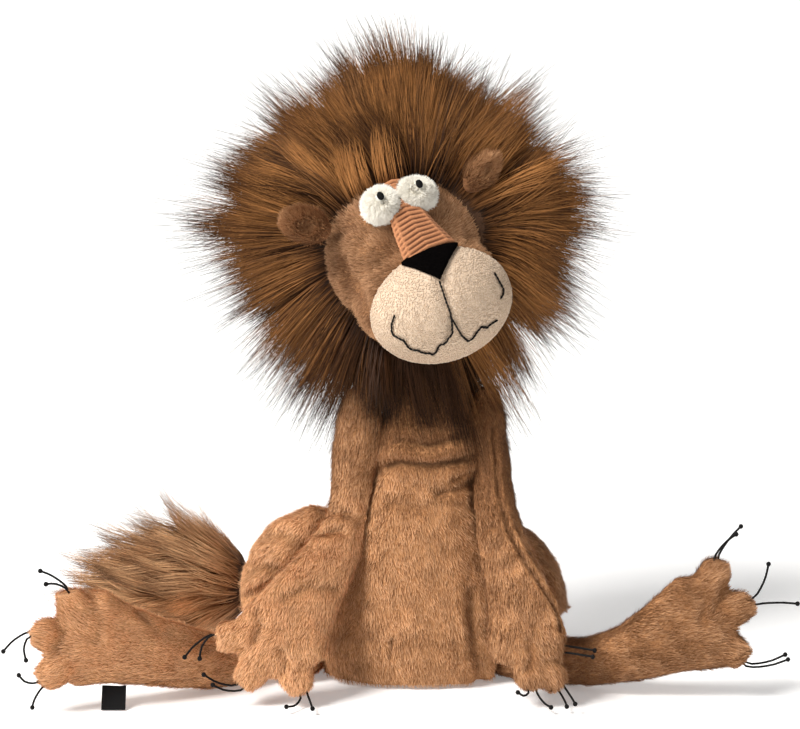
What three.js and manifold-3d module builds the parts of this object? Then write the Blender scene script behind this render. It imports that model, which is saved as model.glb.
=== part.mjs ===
// A seated plush lion with long floppy limbs, a long-haired mane and cord claws.
// Millimetres, +Z up. It faces -Y, so its left side is +X.
// The origin is the middle of the underside of its seat.
import * as THREE from "three";
import { mergeVertices } from "three/addons/utils/BufferGeometryUtils.js";
import Module from "manifold-3d";

const wasm = await Module();
wasm.setup();

// Sewn seams: the room between two pieces that are stitched together, and how far a cut runs past a piece.
const seamGap = 0.4;
const floorGap = 0.6;
const overrun = 60;

// Torso: a pear of plush that narrows to the chest, with a round neck inside the mane.
const torsoHeight = 172;
const bellyWidth = 134;
const bellyDepth = 110;
const chestWidth = 54;
const chestDepth = 52;
const chestShift = 7.5;
const chestSetBack = 4;
const neckRadius = 22;
const neckRise = 46;

// Seat: an oval panel closes a pocket in the base, which holds a pouch of plastic pellets.
const seatWidth = 92;
const seatDepth = 78;
const seatThickness = 2.4;
const pouchWidth = 74;
const pouchDepth = 62;
const pouchHeight = 26;

// Haunches: the two thigh lobes beside the belly. Their places are shares of the belly's half width.
const haunchDepth = 64;
const haunchSetBack = 5;
const rightHaunch = { placeShare: 0.9, width: 102, height: 118, rise: 45 };
const leftHaunch = { placeShare: 0.75, width: 96, height: 114, rise: 38 };

// Legs: each is a flat tube that turns on a round hip under its haunch and ends in a paw with three toes.
const hipHeight = 36;
const hipRadius = 25;
const hipForward = 16;
const rightHipShare = 1.19;
const leftHipShare = 1.01;
const legThickness = 27;
const footWidth = 69;
const rightLegReach = 128;
const rightLegForward = 78;
const leftLegReach = 117;
const leftLegForward = 52;
const legLift = 50;

// Arms: flat tubes that hang from the sides of the chest and end in paws in front of the legs.
const shoulderHeight = 166;
const armThickness = 24;
const handWidth = 64;
const armReach = 81;
const rightArmSpread = 51;
const leftArmSpread = 21;

// Toes, and the waxed cord that is threaded through each toe and knotted at both ends.
const toeReach = 42;
const toeWidth = 24;
const toeThickness = 17;
const clawLength = 22;
const cordRadius = 0.75;
const knotRadius = 1.6;
const threadDepth = 5;
const threadSpan = 4.4;

// Head: a round skull with a snout, turned and tilted on the neck.
const headHeight = 90;
const headShift = -6;
const headPitch = 12;
const headRoll = -15;
const headYaw = 17;
const skullWidth = 102;
const skullDepth = 94;
const skullHeight = 112;
const snoutWidth = 92;
const snoutLength = 70;
const snoutHeight = 74;
const snoutForward = 32;
const snoutDrop = 13;
const muzzleWidth = 90;
const muzzleHeight = 70;
const muzzleLength = 64;
const muzzleForward = 56;

// Face pieces. The eyes sit a little to one side, as they do on the real one.
const noseWidth = 38;
const noseLength = 26;
const noseThickness = 2.4;
const bridgeTopWidth = 21;
const bridgeLowWidth = 35;
const bridgeThickness = 8;
const bridgeRibs = 17;
const ribHeight = 0.9;
const ribBow = 2.5;
const bridgeSquareness = 2.4;
const eyeWidth = 26;
const eyeSpread = 12.5;
const eyeShift = -3.7;
const eyeForward = 24;
const eyeRise = 48;
const pupilWidth = 4;
const pupilHeight = 5;
const pupilThickness = 3;
const earLength = 34;
const earHeight = 22;
const earThickness = 15;
const earDish = 5;

// Mane: a thick collar and cap of long pile round the face, cut flat over the shoulders.
const maneRadius = 116;
const maneRimRadius = 45;
const maneFront = 16;
const beardForward = 15;
const maneBack = 79;
const maneClearance = 2.5;
const maneCornerPower = 8;
const maneLocks = 22;
const columnsPerLock = 3;
const lockHeight = 11;

// Tail: a plush tube that lies behind the lion, with a long-haired tuft at its end.
const tailRadius = 9;
const tailRootRadius = 11;
const tailReach = 104;
const tailRootShift = 12;
const tailHeight = 21;
const tuftLength = 104;
const tuftHeight = 82;
const tuftDepth = 62;
const tuftRise = 44;
const tuftLocks = 12;
const tuftLockHeight = 6;

// Side label: a small folded ribbon in the lower seam of the right leg.
const labelWidth = 14.5;
const labelDrop = 15;
const labelLean = 30;
const labelThickness = 1.2;
const labelPlaceShare = 0.79;

// How many sides and rings each form has.
const ballFacets = { around: 16, over: 10 };
const haunchFacets = { around: 18, over: 12 };
const skullFacets = { around: 20, over: 14 };
const muzzleFacets = { around: 20, over: 14 };
const eyeFacets = { around: 14, over: 9 };
const earFacets = { around: 14, over: 8 };
const rootFacets = { around: 12, over: 8 };
const beadFacets = { around: 8, over: 5 };
const knotFacets = { around: 6, over: 4 };
const turnedSides = 18;
const neckSides = 24;
const bridgeSides = 8;
const torsoFacets = { rings: 17, sides: 16 };
const armFacets = { rings: 12, sides: 10 };
const legFacets = { rings: 11, sides: 10 };
const toeFacets = { rings: 5, sides: 8 };
const tailFacets = { rings: 10, sides: 9 };
const tuftRows = 9;

// Finish of each cloth.
const cloth = (color, roughness) => new THREE.MeshStandardMaterial({ color, roughness, metalness: 0 });
const plush = cloth(0xb07a4b, 0.95);
const longPile = cloth(0x7a5032, 0.9);
const tuftPile = cloth(0xa27a55, 0.9);
const terry = cloth(0xe3cba6, 1);
const corduroy = cloth(0xc0703f, 0.95);
const velvet = cloth(0x0a0909, 0.85);
const whitePlush = cloth(0xf1efe6, 0.95);
const waxedCord = cloth(0x0d0d0d, 0.6);
const ribbon = cloth(0x101010, 0.7);
const linen = cloth(0xcbb79a, 1);

const mix = THREE.MathUtils.lerp;
const radians = THREE.MathUtils.degToRad;
const vector = (point) => new THREE.Vector3(...point);

// A closed geometry as a solid that can be cut and joined, with its faces out.
function solidOf(geometry) {
  const bare = geometry.index ? geometry.toNonIndexed() : geometry.clone();
  bare.deleteAttribute("normal");
  bare.deleteAttribute("uv");
  const merged = mergeVertices(bare, 1e-4);
  const vertProperties = merged.attributes.position.array;
  const triVerts = new Uint32Array(merged.index.array);
  const solid = new wasm.Manifold(new wasm.Mesh({ numProp: 3, vertProperties, triVerts }));
  if (solid.volume() > 0) return solid;
  triVerts.reverse();
  return new wasm.Manifold(new wasm.Mesh({ numProp: 3, vertProperties, triVerts }));
}

function geometryOf(solid) {
  const { vertProperties, triVerts, numProp } = solid.getMesh();
  const positions = new Float32Array((vertProperties.length / numProp) * 3);
  for (let i = 0; i < positions.length / 3; i++) {
    positions.set(vertProperties.subarray(i * numProp, i * numProp + 3), i * 3);
  }
  const geometry = new THREE.BufferGeometry();
  geometry.setAttribute("position", new THREE.BufferAttribute(positions, 3));
  geometry.setIndex(new THREE.BufferAttribute(triVerts, 1));
  geometry.computeVertexNormals();
  return geometry;
}

function addPiece(group, name, solid, material) {
  const mesh = new THREE.Mesh(geometryOf(solid), material);
  mesh.name = name;
  group.add(mesh);
}

const moved = (solid, x, y, z) => solid.translate([x, y, z]);
const without = (solid, ...others) => others.reduce((rest, other) => rest.subtract(other), solid);
const joined = (solid, ...others) => others.reduce((sum, other) => sum.add(other), solid);

// The main body of a cut piece, without any sliver that a cut leaves.
function mainBody(solid) {
  return solid.decompose().sort((a, b) => b.volume() - a.volume())[0];
}

// A skin over rings of points, closed by a single point at each end.
function skinOver(startPoint, rings, endPoint) {
  const sides = rings[0].length;
  const corners = [startPoint, ...rings.flat(), endPoint];
  const last = corners.length - 1;
  const at = (ring, side) => 1 + ring * sides + (side % sides);
  const triangles = [];
  for (let side = 0; side < sides; side++) {
    triangles.push(0, at(0, side + 1), at(0, side));
    triangles.push(last, at(rings.length - 1, side), at(rings.length - 1, side + 1));
    for (let ring = 0; ring + 1 < rings.length; ring++) {
      triangles.push(at(ring, side), at(ring, side + 1), at(ring + 1, side + 1));
      triangles.push(at(ring, side), at(ring + 1, side + 1), at(ring + 1, side));
    }
  }
  const geometry = new THREE.BufferGeometry();
  const positions = corners.flatMap((corner) => corner.toArray());
  geometry.setAttribute("position", new THREE.Float32BufferAttribute(positions, 3));
  geometry.setIndex(triangles);
  return solidOf(geometry);
}

// One coordinate of a rounded section: a squareness of 2 is an ellipse, and more is boxier.
function rounded(value, squareness) {
  return Math.sign(value) * Math.abs(value) ** (2 / squareness);
}

// A stuffed form: rounded sections square to a smooth line through rows of middle, width and thickness.
// Its broad side faces the given way, and it is drawn in to a dome at each end.
function stuffed({ rows, face, rings, sides, domeShare, squareness = 2.3 }, grow = 0) {
  const curve = new THREE.CatmullRomCurve3(rows.map((row) => vector(row.middle)));
  const halves = rows.map((row) => new THREE.Vector3(row.width / 2, row.thickness / 2, 0));
  const sizes = new THREE.CatmullRomCurve3(halves);
  const drawnIn = (t) => (t < domeShare ? Math.sqrt(1 - (1 - t / domeShare) ** 2) : 1);
  const sections = [];
  for (let ring = 1; ring < rings; ring++) {
    const t = (1 - Math.cos((Math.PI * ring) / rings)) / 2;
    const tangent = curve.getTangent(t);
    const across = new THREE.Vector3().crossVectors(tangent, vector(face)).normalize();
    const out = new THREE.Vector3().crossVectors(across, tangent);
    const size = sizes.getPoint(t).multiplyScalar(Math.min(drawnIn(t), drawnIn(1 - t)));
    const middle = curve.getPoint(t).addScaledVector(tangent, grow * (2 * t - 1));
    const section = [];
    for (let side = 0; side < sides; side++) {
      const angle = (2 * Math.PI * side) / sides;
      const x = rounded(Math.cos(angle), squareness) * (size.x + grow);
      const y = rounded(Math.sin(angle), squareness) * (size.y + grow);
      section.push(middle.clone().addScaledVector(across, x).addScaledVector(out, y));
    }
    sections.push(section);
  }
  const start = curve.getPoint(0).addScaledVector(curve.getTangent(0), -grow);
  const end = curve.getPoint(1).addScaledVector(curve.getTangent(1), grow);
  return skinOver(start, sections, end);
}

// A ball of the given width, depth and height.
function ball(width, depth, height, grow = 0, facets = ballFacets) {
  const unit = new THREE.SphereGeometry(1, facets.around, facets.over).rotateX(Math.PI / 2);
  return solidOf(unit.scale(width / 2 + grow, depth / 2 + grow, height / 2 + grow));
}

// A turned solid on the vertical line through x, y, from its radii and heights.
function turned(profile, x, y, segments = turnedSides) {
  const points = profile.map(([radius, height]) => new THREE.Vector2(radius, height));
  return solidOf(new THREE.LatheGeometry(points, segments).rotateX(Math.PI / 2).translate(x, y, 0));
}

function block(low, high) {
  const [width, depth, height] = high.map((value, i) => value - low[i]);
  const middle = high.map((value, i) => (value + low[i]) / 2);
  return solidOf(new THREE.BoxGeometry(width, depth, height).translate(...middle));
}

const lion = new THREE.Group();
const underFloor = block([-overrun * 5, -overrun * 5, -overrun], [overrun * 5, overrun * 5, floorGap]);

// Torso. Each row: share of the torso's height, how far it has turned from belly to chest, and the shares
// of that width and depth.
const torsoShares = [
  [-0.075, 0, 0.72, 0.72],
  [0.02, 0, 0.95, 0.95],
  [0.12, 0, 1.02, 1.02],
  [0.27, 0.04, 1.0, 1.0],
  [0.42, 0.16, 0.95, 0.96],
  [0.56, 0.42, 0.95, 0.97],
  [0.68, 0.76, 0.98, 1.02],
  [0.735, 0.9, 0.92, 0.92],
  [0.79, 0.93, 1.02, 1.06],
  [0.89, 1.0, 1.0, 1.0],
  [1.0, 1.0, 0.82, 0.86],
];

function torsoSkin(grow = 0) {
  const rows = torsoShares.map(([up, turn, wide, deep]) => ({
    middle: [chestShift * turn, chestSetBack * turn, torsoHeight * up],
    width: mix(bellyWidth, chestWidth, turn) * wide,
    thickness: mix(bellyDepth, chestDepth, turn) * deep,
  }));
  const form = { rows, face: [0, -1, 0], ...torsoFacets, domeShare: 0.06 };
  return stuffed(form, grow);
}

// The neck is round, so that the head turns on it.
function neck(grow = 0) {
  const radius = neckRadius + grow;
  const low = torsoHeight - neckRadius;
  const top = torsoHeight + neckRise + grow;
  const dome = neckRadius / 2;
  const profile = [
    [0, low],
    [radius, low],
    [radius, top - dome],
    [radius * Math.cos(Math.PI / 4), top - dome * (1 - Math.SQRT1_2)],
    [0, top],
  ];
  return turned(profile, chestShift, chestSetBack, neckSides);
}

// A flat oval, for the seat panel and the pouch above it.
function oval(width, depth, low, high, grow = 0) {
  const outline = new THREE.Shape().absellipse(0, 0, width / 2 + grow, depth / 2 + grow, 0, 2 * Math.PI);
  const options = { depth: high - low + 2 * grow, bevelEnabled: false, curveSegments: 10 };
  return solidOf(new THREE.ExtrudeGeometry(outline, options).translate(0, 0, low - grow));
}

const seatPanel = (grow = 0) => oval(seatWidth, seatDepth, 0, seatThickness, grow);
const pouchFloor = seatThickness + seamGap;
const pouch = (grow = 0) => oval(pouchWidth, pouchDepth, pouchFloor, pouchFloor + pouchHeight, grow);

// Hips: round blocks under the haunches, so that a leg turns on its hip without rubbing.
const rightHipX = (-bellyWidth / 2) * rightHipShare;
const leftHipX = (bellyWidth / 2) * leftHipShare;

function hip(x, grow = 0) {
  const radius = hipRadius + grow;
  const edge = hipRadius / 4;
  const profile = [
    [0, floorGap - grow],
    [radius - edge, floorGap - grow],
    [radius, floorGap + edge - grow],
    [radius, hipHeight + grow],
    [0, hipHeight + grow],
  ];
  return turned(profile, x, -hipForward);
}

// The tail's round root sits in a socket in the middle of the torso's back.
const tailRoot = [-tailRootShift, bellyDepth / 2, tailHeight];

function tailRootBall(grow = 0) {
  const width = tailRootRadius * 2;
  return moved(ball(width, width, width, grow, rootFacets), ...tailRoot);
}

const hips = [hip(rightHipX, seamGap), hip(leftHipX, seamGap)];
const pockets = [seatPanel(seamGap), pouch(seamGap), tailRootBall(seamGap)];
addPiece(lion, "torso", without(joined(torsoSkin(), neck()), underFloor, ...pockets, ...hips), plush);
addPiece(lion, "seat_panel", seatPanel(), plush);
addPiece(lion, "pellet_pouch", pouch(), linen);

// Haunches: sewn to the belly, and flat underneath where the hips turn.
function haunch(size, side) {
  const lobe = ball(size.width, haunchDepth, size.height, 0, haunchFacets);
  const placed = moved(lobe, ((side * bellyWidth) / 2) * size.placeShare, haunchSetBack, size.rise);
  const reach = bellyWidth + size.width;
  const below = block([-reach, -reach, -overrun], [reach, reach, hipHeight + seamGap]);
  return mainBody(without(placed, torsoSkin(seamGap), below));
}
addPiece(lion, "haunch_right", haunch(rightHaunch, -1), plush);
addPiece(lion, "haunch_left", haunch(leftHaunch, 1), plush);

// Toe tips, from the middle of the palm, in shares of the toe's reach.
const toeShares = {
  arm_right: [[-1.0, -0.05, 0.05], [-0.6, -0.17, -0.69], [0.33, -0.19, -0.81]],
  arm_left: [[0.58, -0.1, -0.05], [0.5, -0.17, -0.62], [0.08, -0.21, -0.64]],
  leg_right: [[-0.3, -0.2, 0.8], [-0.84, -0.25, 0.14], [-0.72, -0.22, -0.62]],
  leg_left: [[0.2, -0.02, 1.0], [0.76, -0.05, 0.33], [0.66, -0.05, -0.62]],
};

// The two knotted ends of each claw cord, from the toe's tip, in shares of the claw's length.
const clawShares = {
  arm_right: [
    [[-0.71, -0.23, -0.56], [-0.29, -0.36, -0.56]],
    [[-0.94, -0.23, 0.43], [-0.69, -0.36, 0.18]],
    [[-0.46, -0.6, -0.12], [0.25, -0.7, -0.14]],
  ],
  arm_left: [
    [[0.72, -0.23, 0.04], [0.66, -0.36, -0.1]],
    [[0.1, -0.6, -0.3], [0.32, -0.68, -0.2]],
    [[0.47, -0.6, -0.26], [-0.42, -0.4, 0.1]],
  ],
  leg_right: [
    [[-0.66, -0.23, 0.53], [-0.5, -0.36, 0.2]],
    [[-0.66, -0.23, -0.41], [-0.04, -0.36, -0.62]],
    [[-0.5, -0.23, 0.36], [-0.14, -0.36, -0.5]],
  ],
  leg_left: [
    [[0.6, -0.23, 0.86], [0.46, -0.36, 0.67]],
    [[0.3, -0.23, 1.1], [1.1, -0.36, 0.02]],
    [[1.01, -0.23, 0.36], [1.07, -0.36, 0.26]],
  ],
};

// The way of one claw cord: from one knot down into the toe, across, and out to the other knot.
function clawRoute(palm, tip, ends) {
  const outward = tip.clone().sub(palm).normalize();
  const across = vector(ends[0]).sub(vector(ends[1]));
  across.addScaledVector(outward, -across.dot(outward)).setLength(threadSpan / 2);
  const half = (side, end) => {
    const leaving = tip.clone().addScaledVector(across, side);
    const knot = tip.clone().addScaledVector(vector(end), clawLength);
    const middle = leaving.clone().lerp(knot, 0.5).addScaledVector(outward, threadSpan / 2);
    knot.z = Math.max(knot.z, floorGap + knotRadius);
    middle.z = Math.max(middle.z, floorGap + knotRadius);
    return [leaving, middle, knot];
  };
  const deep = (side) => tip.clone().addScaledVector(outward, -threadDepth).addScaledVector(across, side);
  return [...half(1, ends[0]).reverse(), deep(1), deep(-1), ...half(-1, ends[1])];
}

function cordAlong(points, radius) {
  const section = new THREE.Shape().absarc(0, 0, radius, 0, 2 * Math.PI);
  const extrudePath = new THREE.CatmullRomCurve3(points);
  const options = { extrudePath, steps: 15, bevelEnabled: false, curveSegments: 3 };
  return solidOf(new THREE.ExtrudeGeometry(section, options));
}

function knottedCord(route, grow = 0) {
  const knot = ball(knotRadius * 2, knotRadius * 2, knotRadius * 2, grow, knotFacets);
  const knots = [route[0], route[route.length - 1]].map((end) => moved(knot, ...end.toArray()));
  return joined(cordAlong(route, cordRadius + grow), ...knots);
}

// A limb with its paw: a palm, three toes, and a channel in each toe for its claw cord.
function limbWithPaw(name, limb, palm, neighbours) {
  const tips = toeShares[name].map((share) => palm.clone().addScaledVector(vector(share), toeReach));
  const toes = tips.map((tip) => {
    const middles = [palm, palm.clone().lerp(tip, 0.6), tip];
    const rows = middles.map((middle) => ({
      middle: middle.toArray(),
      width: toeWidth,
      thickness: toeThickness,
    }));
    return stuffed({ rows, face: limb.face, ...toeFacets, domeShare: 0.3 });
  });
  const routes = tips.map((tip, toe) => clawRoute(palm, tip, clawShares[name][toe]));
  const channels = routes.map((route) => knottedCord(route, seamGap));
  const claws = routes.map((route) => knottedCord(route));
  const skin = mainBody(without(joined(stuffed(limb), ...toes), ...neighbours, ...channels));
  return { skin, claws };
}

function addLimb(name, { skin, claws }) {
  addPiece(lion, name, skin, plush);
  claws.forEach((claw, toe) => addPiece(lion, `${name}_claw_${toe + 1}`, claw, waxedCord));
}

// Arms. Each row: share of the shoulder's height, of the spread, of the reach forwards, of the hand's width
// and of the thickness. The palm is the row before the last.
const rightArmShares = [
  [1.0, 0, 0, 0.46, 0.95],
  [0.87, 0, 0.04, 0.54, 1.0],
  [0.72, 0.03, 0.14, 0.48, 0.96],
  [0.595, 0.08, 0.3, 0.5, 0.96],
  [0.475, 0.34, 0.56, 0.58, 0.92],
  [0.36, 0.62, 0.78, 0.76, 0.88],
  [0.25, 0.86, 0.94, 0.96, 0.82],
  [0.165, 0.98, 1.0, 0.8, 0.7],
];
const leftArmShares = [
  [1.0, 0, 0, 0.36, 0.95],
  [0.87, 0, 0.04, 0.4, 1.0],
  [0.72, 0.05, 0.14, 0.44, 1.0],
  [0.595, 0.14, 0.32, 0.52, 1.0],
  [0.475, 0.48, 0.58, 0.6, 0.95],
  [0.35, 0.76, 0.8, 0.72, 0.9],
  [0.225, 0.93, 0.94, 0.82, 0.85],
  [0.14, 1.0, 1.0, 0.74, 0.7],
];

function arm(name, side, shares, spread, face) {
  const chestSide = chestShift + (side * chestWidth) / 2;
  const shoulderX = chestSide + (side * handWidth * shares[1][3]) / 2;
  const shoulderY = chestSetBack - chestDepth / 10;
  const rows = shares.map(([up, out, ahead, wide, thick]) => ({
    middle: [shoulderX + side * spread * out, shoulderY - armReach * ahead, shoulderHeight * up],
    width: handWidth * wide,
    thickness: armThickness * thick,
  }));
  const inner = chestSide + side * seamGap;
  const centre = chestSide - side * chestWidth;
  const chestHalf = block(
    [Math.min(inner, centre), -overrun, shoulderHeight * torsoShares[7][0]],
    [Math.max(inner, centre), overrun, shoulderHeight + overrun],
  );
  const limb = { rows, face, ...armFacets, domeShare: 0.11 };
  const palm = vector(rows[rows.length - 2].middle);
  return limbWithPaw(name, limb, palm, [torsoSkin(seamGap), chestHalf]);
}
addLimb("arm_right", arm("arm_right", -1, rightArmShares, rightArmSpread, [-0.12, -1, -0.1]));
addLimb("arm_left", arm("arm_left", 1, leftArmShares, leftArmSpread, [-0.25, -1, -0.1]));

// Legs. Each row: share of the reach sideways, of the reach forwards, of the lift, of the foot's width and
// of the thickness. The sole's middle is the row before the last.
const rightLegShares = [
  [0.0, 0.0, 0.36, 0.46, 1.0],
  [0.22, 0.3, 0.33, 0.5, 1.0],
  [0.4, 0.52, 0.42, 0.6, 1.0],
  [0.56, 0.68, 0.58, 0.66, 0.98],
  [0.74, 0.84, 0.74, 0.76, 0.94],
  [0.89, 0.94, 0.88, 0.98, 0.84],
  [1.0, 1.0, 0.94, 0.84, 0.7],
];
const leftLegShares = [
  [0.0, 0.0, 0.34, 0.46, 1.0],
  [0.22, 0.42, 0.3, 0.46, 1.0],
  [0.4, 0.68, 0.4, 0.5, 1.0],
  [0.61, 0.86, 0.6, 0.62, 0.98],
  [0.8, 0.94, 0.84, 0.86, 0.92],
  [0.9, 0.98, 0.96, 0.98, 0.84],
  [1.0, 1.0, 1.06, 0.82, 0.7],
];

function leg(name, hipX, shares, reach, forward, face) {
  const side = Math.sign(hipX);
  const rows = shares.map(([out, ahead, up, wide, thick]) => ({
    middle: [hipX + side * reach * out, -hipForward - forward * ahead, legLift * up],
    width: footWidth * wide,
    thickness: legThickness * thick,
  }));
  const room = hipRadius * 1.6;
  const top = hipHeight * 2;
  const aboveHip = turned([[0, hipHeight], [room, hipHeight], [room, top], [0, top]], hipX, -hipForward);
  const limb = { rows, face, ...legFacets, domeShare: 0.11 };
  const palm = vector(rows[rows.length - 2].middle);
  const made = limbWithPaw(name, limb, palm, [underFloor, aboveHip]);
  return { skin: joined(made.skin, hip(hipX)), claws: made.claws };
}
const rightLeg = leg("leg_right", rightHipX, rightLegShares, rightLegReach, rightLegForward, [-0.3, -1, 0]);
const leftLeg = leg("leg_left", leftHipX, leftLegShares, leftLegReach, leftLegForward, [0.12, -1, 0.05]);
addLimb("leg_right", rightLeg);
addLimb("leg_left", leftLeg);

// The room that a seated neighbour takes: the solid, and copies of it moved by the seam gap each way.
function seatedOn(solid) {
  const ways = [[1, 0, 0], [-1, 0, 0], [0, 1, 0], [0, -1, 0], [0, 0, 1], [0, 0, -1]];
  return joined(solid, ...ways.map((way) => solid.translate(way.map((value) => value * seamGap))));
}

// Side label: a ribbon that is folded into the lower seam of the right leg and leans out to the floor.
function sideLabel() {
  const x = rightHipX - rightLegReach * labelPlaceShare;
  const y = -hipForward - rightLegForward * labelPlaceShare - legThickness / 2;
  const half = labelThickness / 2;
  const strip = block([-labelWidth / 2, -half, -labelThickness], [labelWidth / 2, half, labelDrop]);
  const leaning = moved(strip.rotate([-labelLean, 0, 0]), x, y, floorGap);
  return mainBody(without(leaning, underFloor, seatedOn(rightLeg.skin)));
}
addPiece(lion, "side_label", sideLabel(), ribbon);

// Head. The skull and snout, and everything on the face, share one turned and tilted group.
const headPlace = [headShift, chestSetBack, torsoHeight + headHeight];
const head = new THREE.Group();
head.position.set(...headPlace);
head.rotation.set(radians(headPitch), radians(headRoll), radians(headYaw), "ZYX");
lion.add(head);
const maneGroup = new THREE.Group();
maneGroup.position.set(...headPlace);
lion.add(maneGroup);
lion.updateMatrixWorld(true);

// A solid from the lion's own frame into a group's, and from one group's frame into another's.
const into = (group, solid) => solid.transform(group.matrixWorld.clone().invert().elements);
const fromHeadToMane = (solid) => into(maneGroup, solid.transform(head.matrixWorld.elements));

function headSkin(grow = 0) {
  const skull = ball(skullWidth, skullDepth, skullHeight, grow, skullFacets);
  const snout = ball(snoutWidth, snoutLength, snoutHeight, grow);
  return joined(skull, moved(snout, 0, -snoutForward, -snoutDrop));
}

// Muzzle: a terry pad sewn flat to the front of the snout.
function muzzlePad(grow = 0) {
  const pad = ball(muzzleWidth, muzzleLength, muzzleHeight, grow, muzzleFacets);
  return moved(pad, 0, -muzzleForward, -snoutDrop);
}
const muzzleSeat = -muzzleForward + muzzleLength / 10;
const behindSeat = (grow) =>
  block([-muzzleWidth, muzzleSeat - grow, -skullHeight], [muzzleWidth, skullDepth, skullHeight]);
const aheadOfSeat = (grow) =>
  block([-muzzleWidth, -skullDepth * 2, -skullHeight], [muzzleWidth, muzzleSeat + grow, skullHeight]);
const neckSocket = into(head, neck(seamGap));
addPiece(head, "head", mainBody(without(headSkin(), neckSocket, aheadOfSeat(seamGap))), plush);
addPiece(head, "muzzle", without(muzzlePad(), behindSeat(0)), terry);

// Eyes: two plush balls that press against each other on the forehead, each with a small pupil.
const eyePlace = (side) => [eyeShift + side * eyeSpread, -eyeForward, eyeRise];
const pupilWay = new THREE.Vector3(-0.07, -0.7, 0.69).normalize();

function eyeBall(side, grow = 0) {
  return moved(ball(eyeWidth, eyeWidth, eyeWidth, grow, eyeFacets), ...eyePlace(side));
}

function pupil(side, grow = 0) {
  const bead = ball(pupilWidth, pupilThickness, pupilHeight, grow, beadFacets).rotate([-45, 0, 0]);
  const out = pupilWay.clone().multiplyScalar(eyeWidth / 2 - pupilThickness / 4);
  return moved(bead, ...vector(eyePlace(side)).add(out).toArray());
}

function eye(side) {
  const inner = eyeShift + (side * seamGap) / 2;
  const outer = eyeShift + side * eyeWidth * 2;
  const half = block(
    [Math.min(inner, outer), -skullDepth, 0],
    [Math.max(inner, outer), skullDepth, skullHeight],
  );
  return mainBody(without(eyeBall(side).intersect(half), headSkin(seamGap), pupil(side, seamGap)));
}
for (const [side, sideName] of [[-1, "right"], [1, "left"]]) {
  addPiece(head, `eye_${sideName}`, eye(side), whitePlush);
  addPiece(head, `pupil_${sideName}`, pupil(side), velvet);
}
const eyesRoom = joined(eyeBall(-1, seamGap), eyeBall(1, seamGap));

// Nose bridge: a strip of corduroy, ribbed across, from the crown between the eyes down to the nose.
// Each row: share of the skull's half height, of its half depth, of the eyes' shift, and of the way from
// the top width to the low width.
const bridgeShares = [
  [0.975, 0.3, 1, 0],
  [0.79, 0.62, 1, 0],
  [0.59, 0.87, 0.7, 0.45],
  [0.385, 1.11, 0, 1],
];

function bridge(grow = 0) {
  const points = bridgeShares.map(
    ([up, ahead, aside]) =>
      new THREE.Vector3(eyeShift * aside, (-skullDepth / 2) * ahead, (skullHeight / 2) * up),
  );
  const widths = bridgeShares.map(([, , , low]) => mix(bridgeTopWidth, bridgeLowWidth, low));
  const path = new THREE.CatmullRomCurve3(points);
  const widthPath = new THREE.CatmullRomCurve3(widths.map((width) => new THREE.Vector3(width, 0, 0)));
  const sections = [];
  for (let station = 0; station <= bridgeRibs * 2; station++) {
    const t = station / (bridgeRibs * 2);
    const tangent = path.getTangentAt(t);
    const out = new THREE.Vector3(0, tangent.z, -tangent.y).normalize();
    const across = new THREE.Vector3().crossVectors(tangent, out).normalize();
    const rib = station % 2 ? ribHeight : 0;
    const section = [];
    for (let side = 0; side < bridgeSides; side++) {
      const angle = (2 * Math.PI * side) / bridgeSides;
      const x = rounded(Math.cos(angle), bridgeSquareness) * (widthPath.getPoint(t).x / 2 + rib / 2 + grow);
      const y = rounded(Math.sin(angle), bridgeSquareness) * (bridgeThickness / 2 + rib + grow);
      const bow = ribBow * Math.cos(angle) ** 2;
      const point = path.getPointAt(t).addScaledVector(tangent, bow);
      section.push(point.addScaledVector(across, x).addScaledVector(out, y));
    }
    sections.push(section);
  }
  const start = path.getPointAt(0).addScaledVector(path.getTangentAt(0), -ribHeight - grow);
  const end = path.getPointAt(1).addScaledVector(path.getTangentAt(1), ribHeight + grow);
  return skinOver(start, sections, end);
}
const bridgeSolid = mainBody(without(bridge(), headSkin(seamGap), muzzlePad(seamGap), eyesRoom));
addPiece(head, "nose_bridge", bridgeSolid, corduroy);

// Nose: a velvet triangle that lies over the top of the muzzle, from the bridge forwards to a point.
function nose() {
  const back = -muzzleForward + muzzleLength / 16;
  const half = noseWidth / 2;
  const outline = new THREE.Shape();
  outline.moveTo(-half, back - noseLength / 8);
  outline.quadraticCurveTo(0, back + noseLength / 8, half, back);
  outline.quadraticCurveTo(half * 0.55, back - noseLength * 0.6, eyeShift, back - noseLength);
  outline.quadraticCurveTo(-half * 0.75, back - noseLength * 0.65, -half, back - noseLength / 8);
  const options = { depth: muzzleHeight, bevelEnabled: false, curveSegments: 6 };
  const column = solidOf(new THREE.ExtrudeGeometry(outline, options));
  const skin = moved(column, 0, 0, -snoutDrop).intersect(muzzlePad(seamGap + noseThickness));
  return mainBody(without(skin, muzzlePad(seamGap), headSkin(seamGap), bridge(seamGap)));
}
addPiece(head, "nose", nose(), velvet);

// Ears: short round lobes, dished in front, that stand out of the mane beside the forehead.
// Each place is in shares of the skull's half width, depth and height, and of the ear's length beyond.
const earPlaceShares = { right: [0.69, -0.19, 0.7, 0.615], left: [0.45, -0.5, 0.74, 0.915] };

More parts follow.
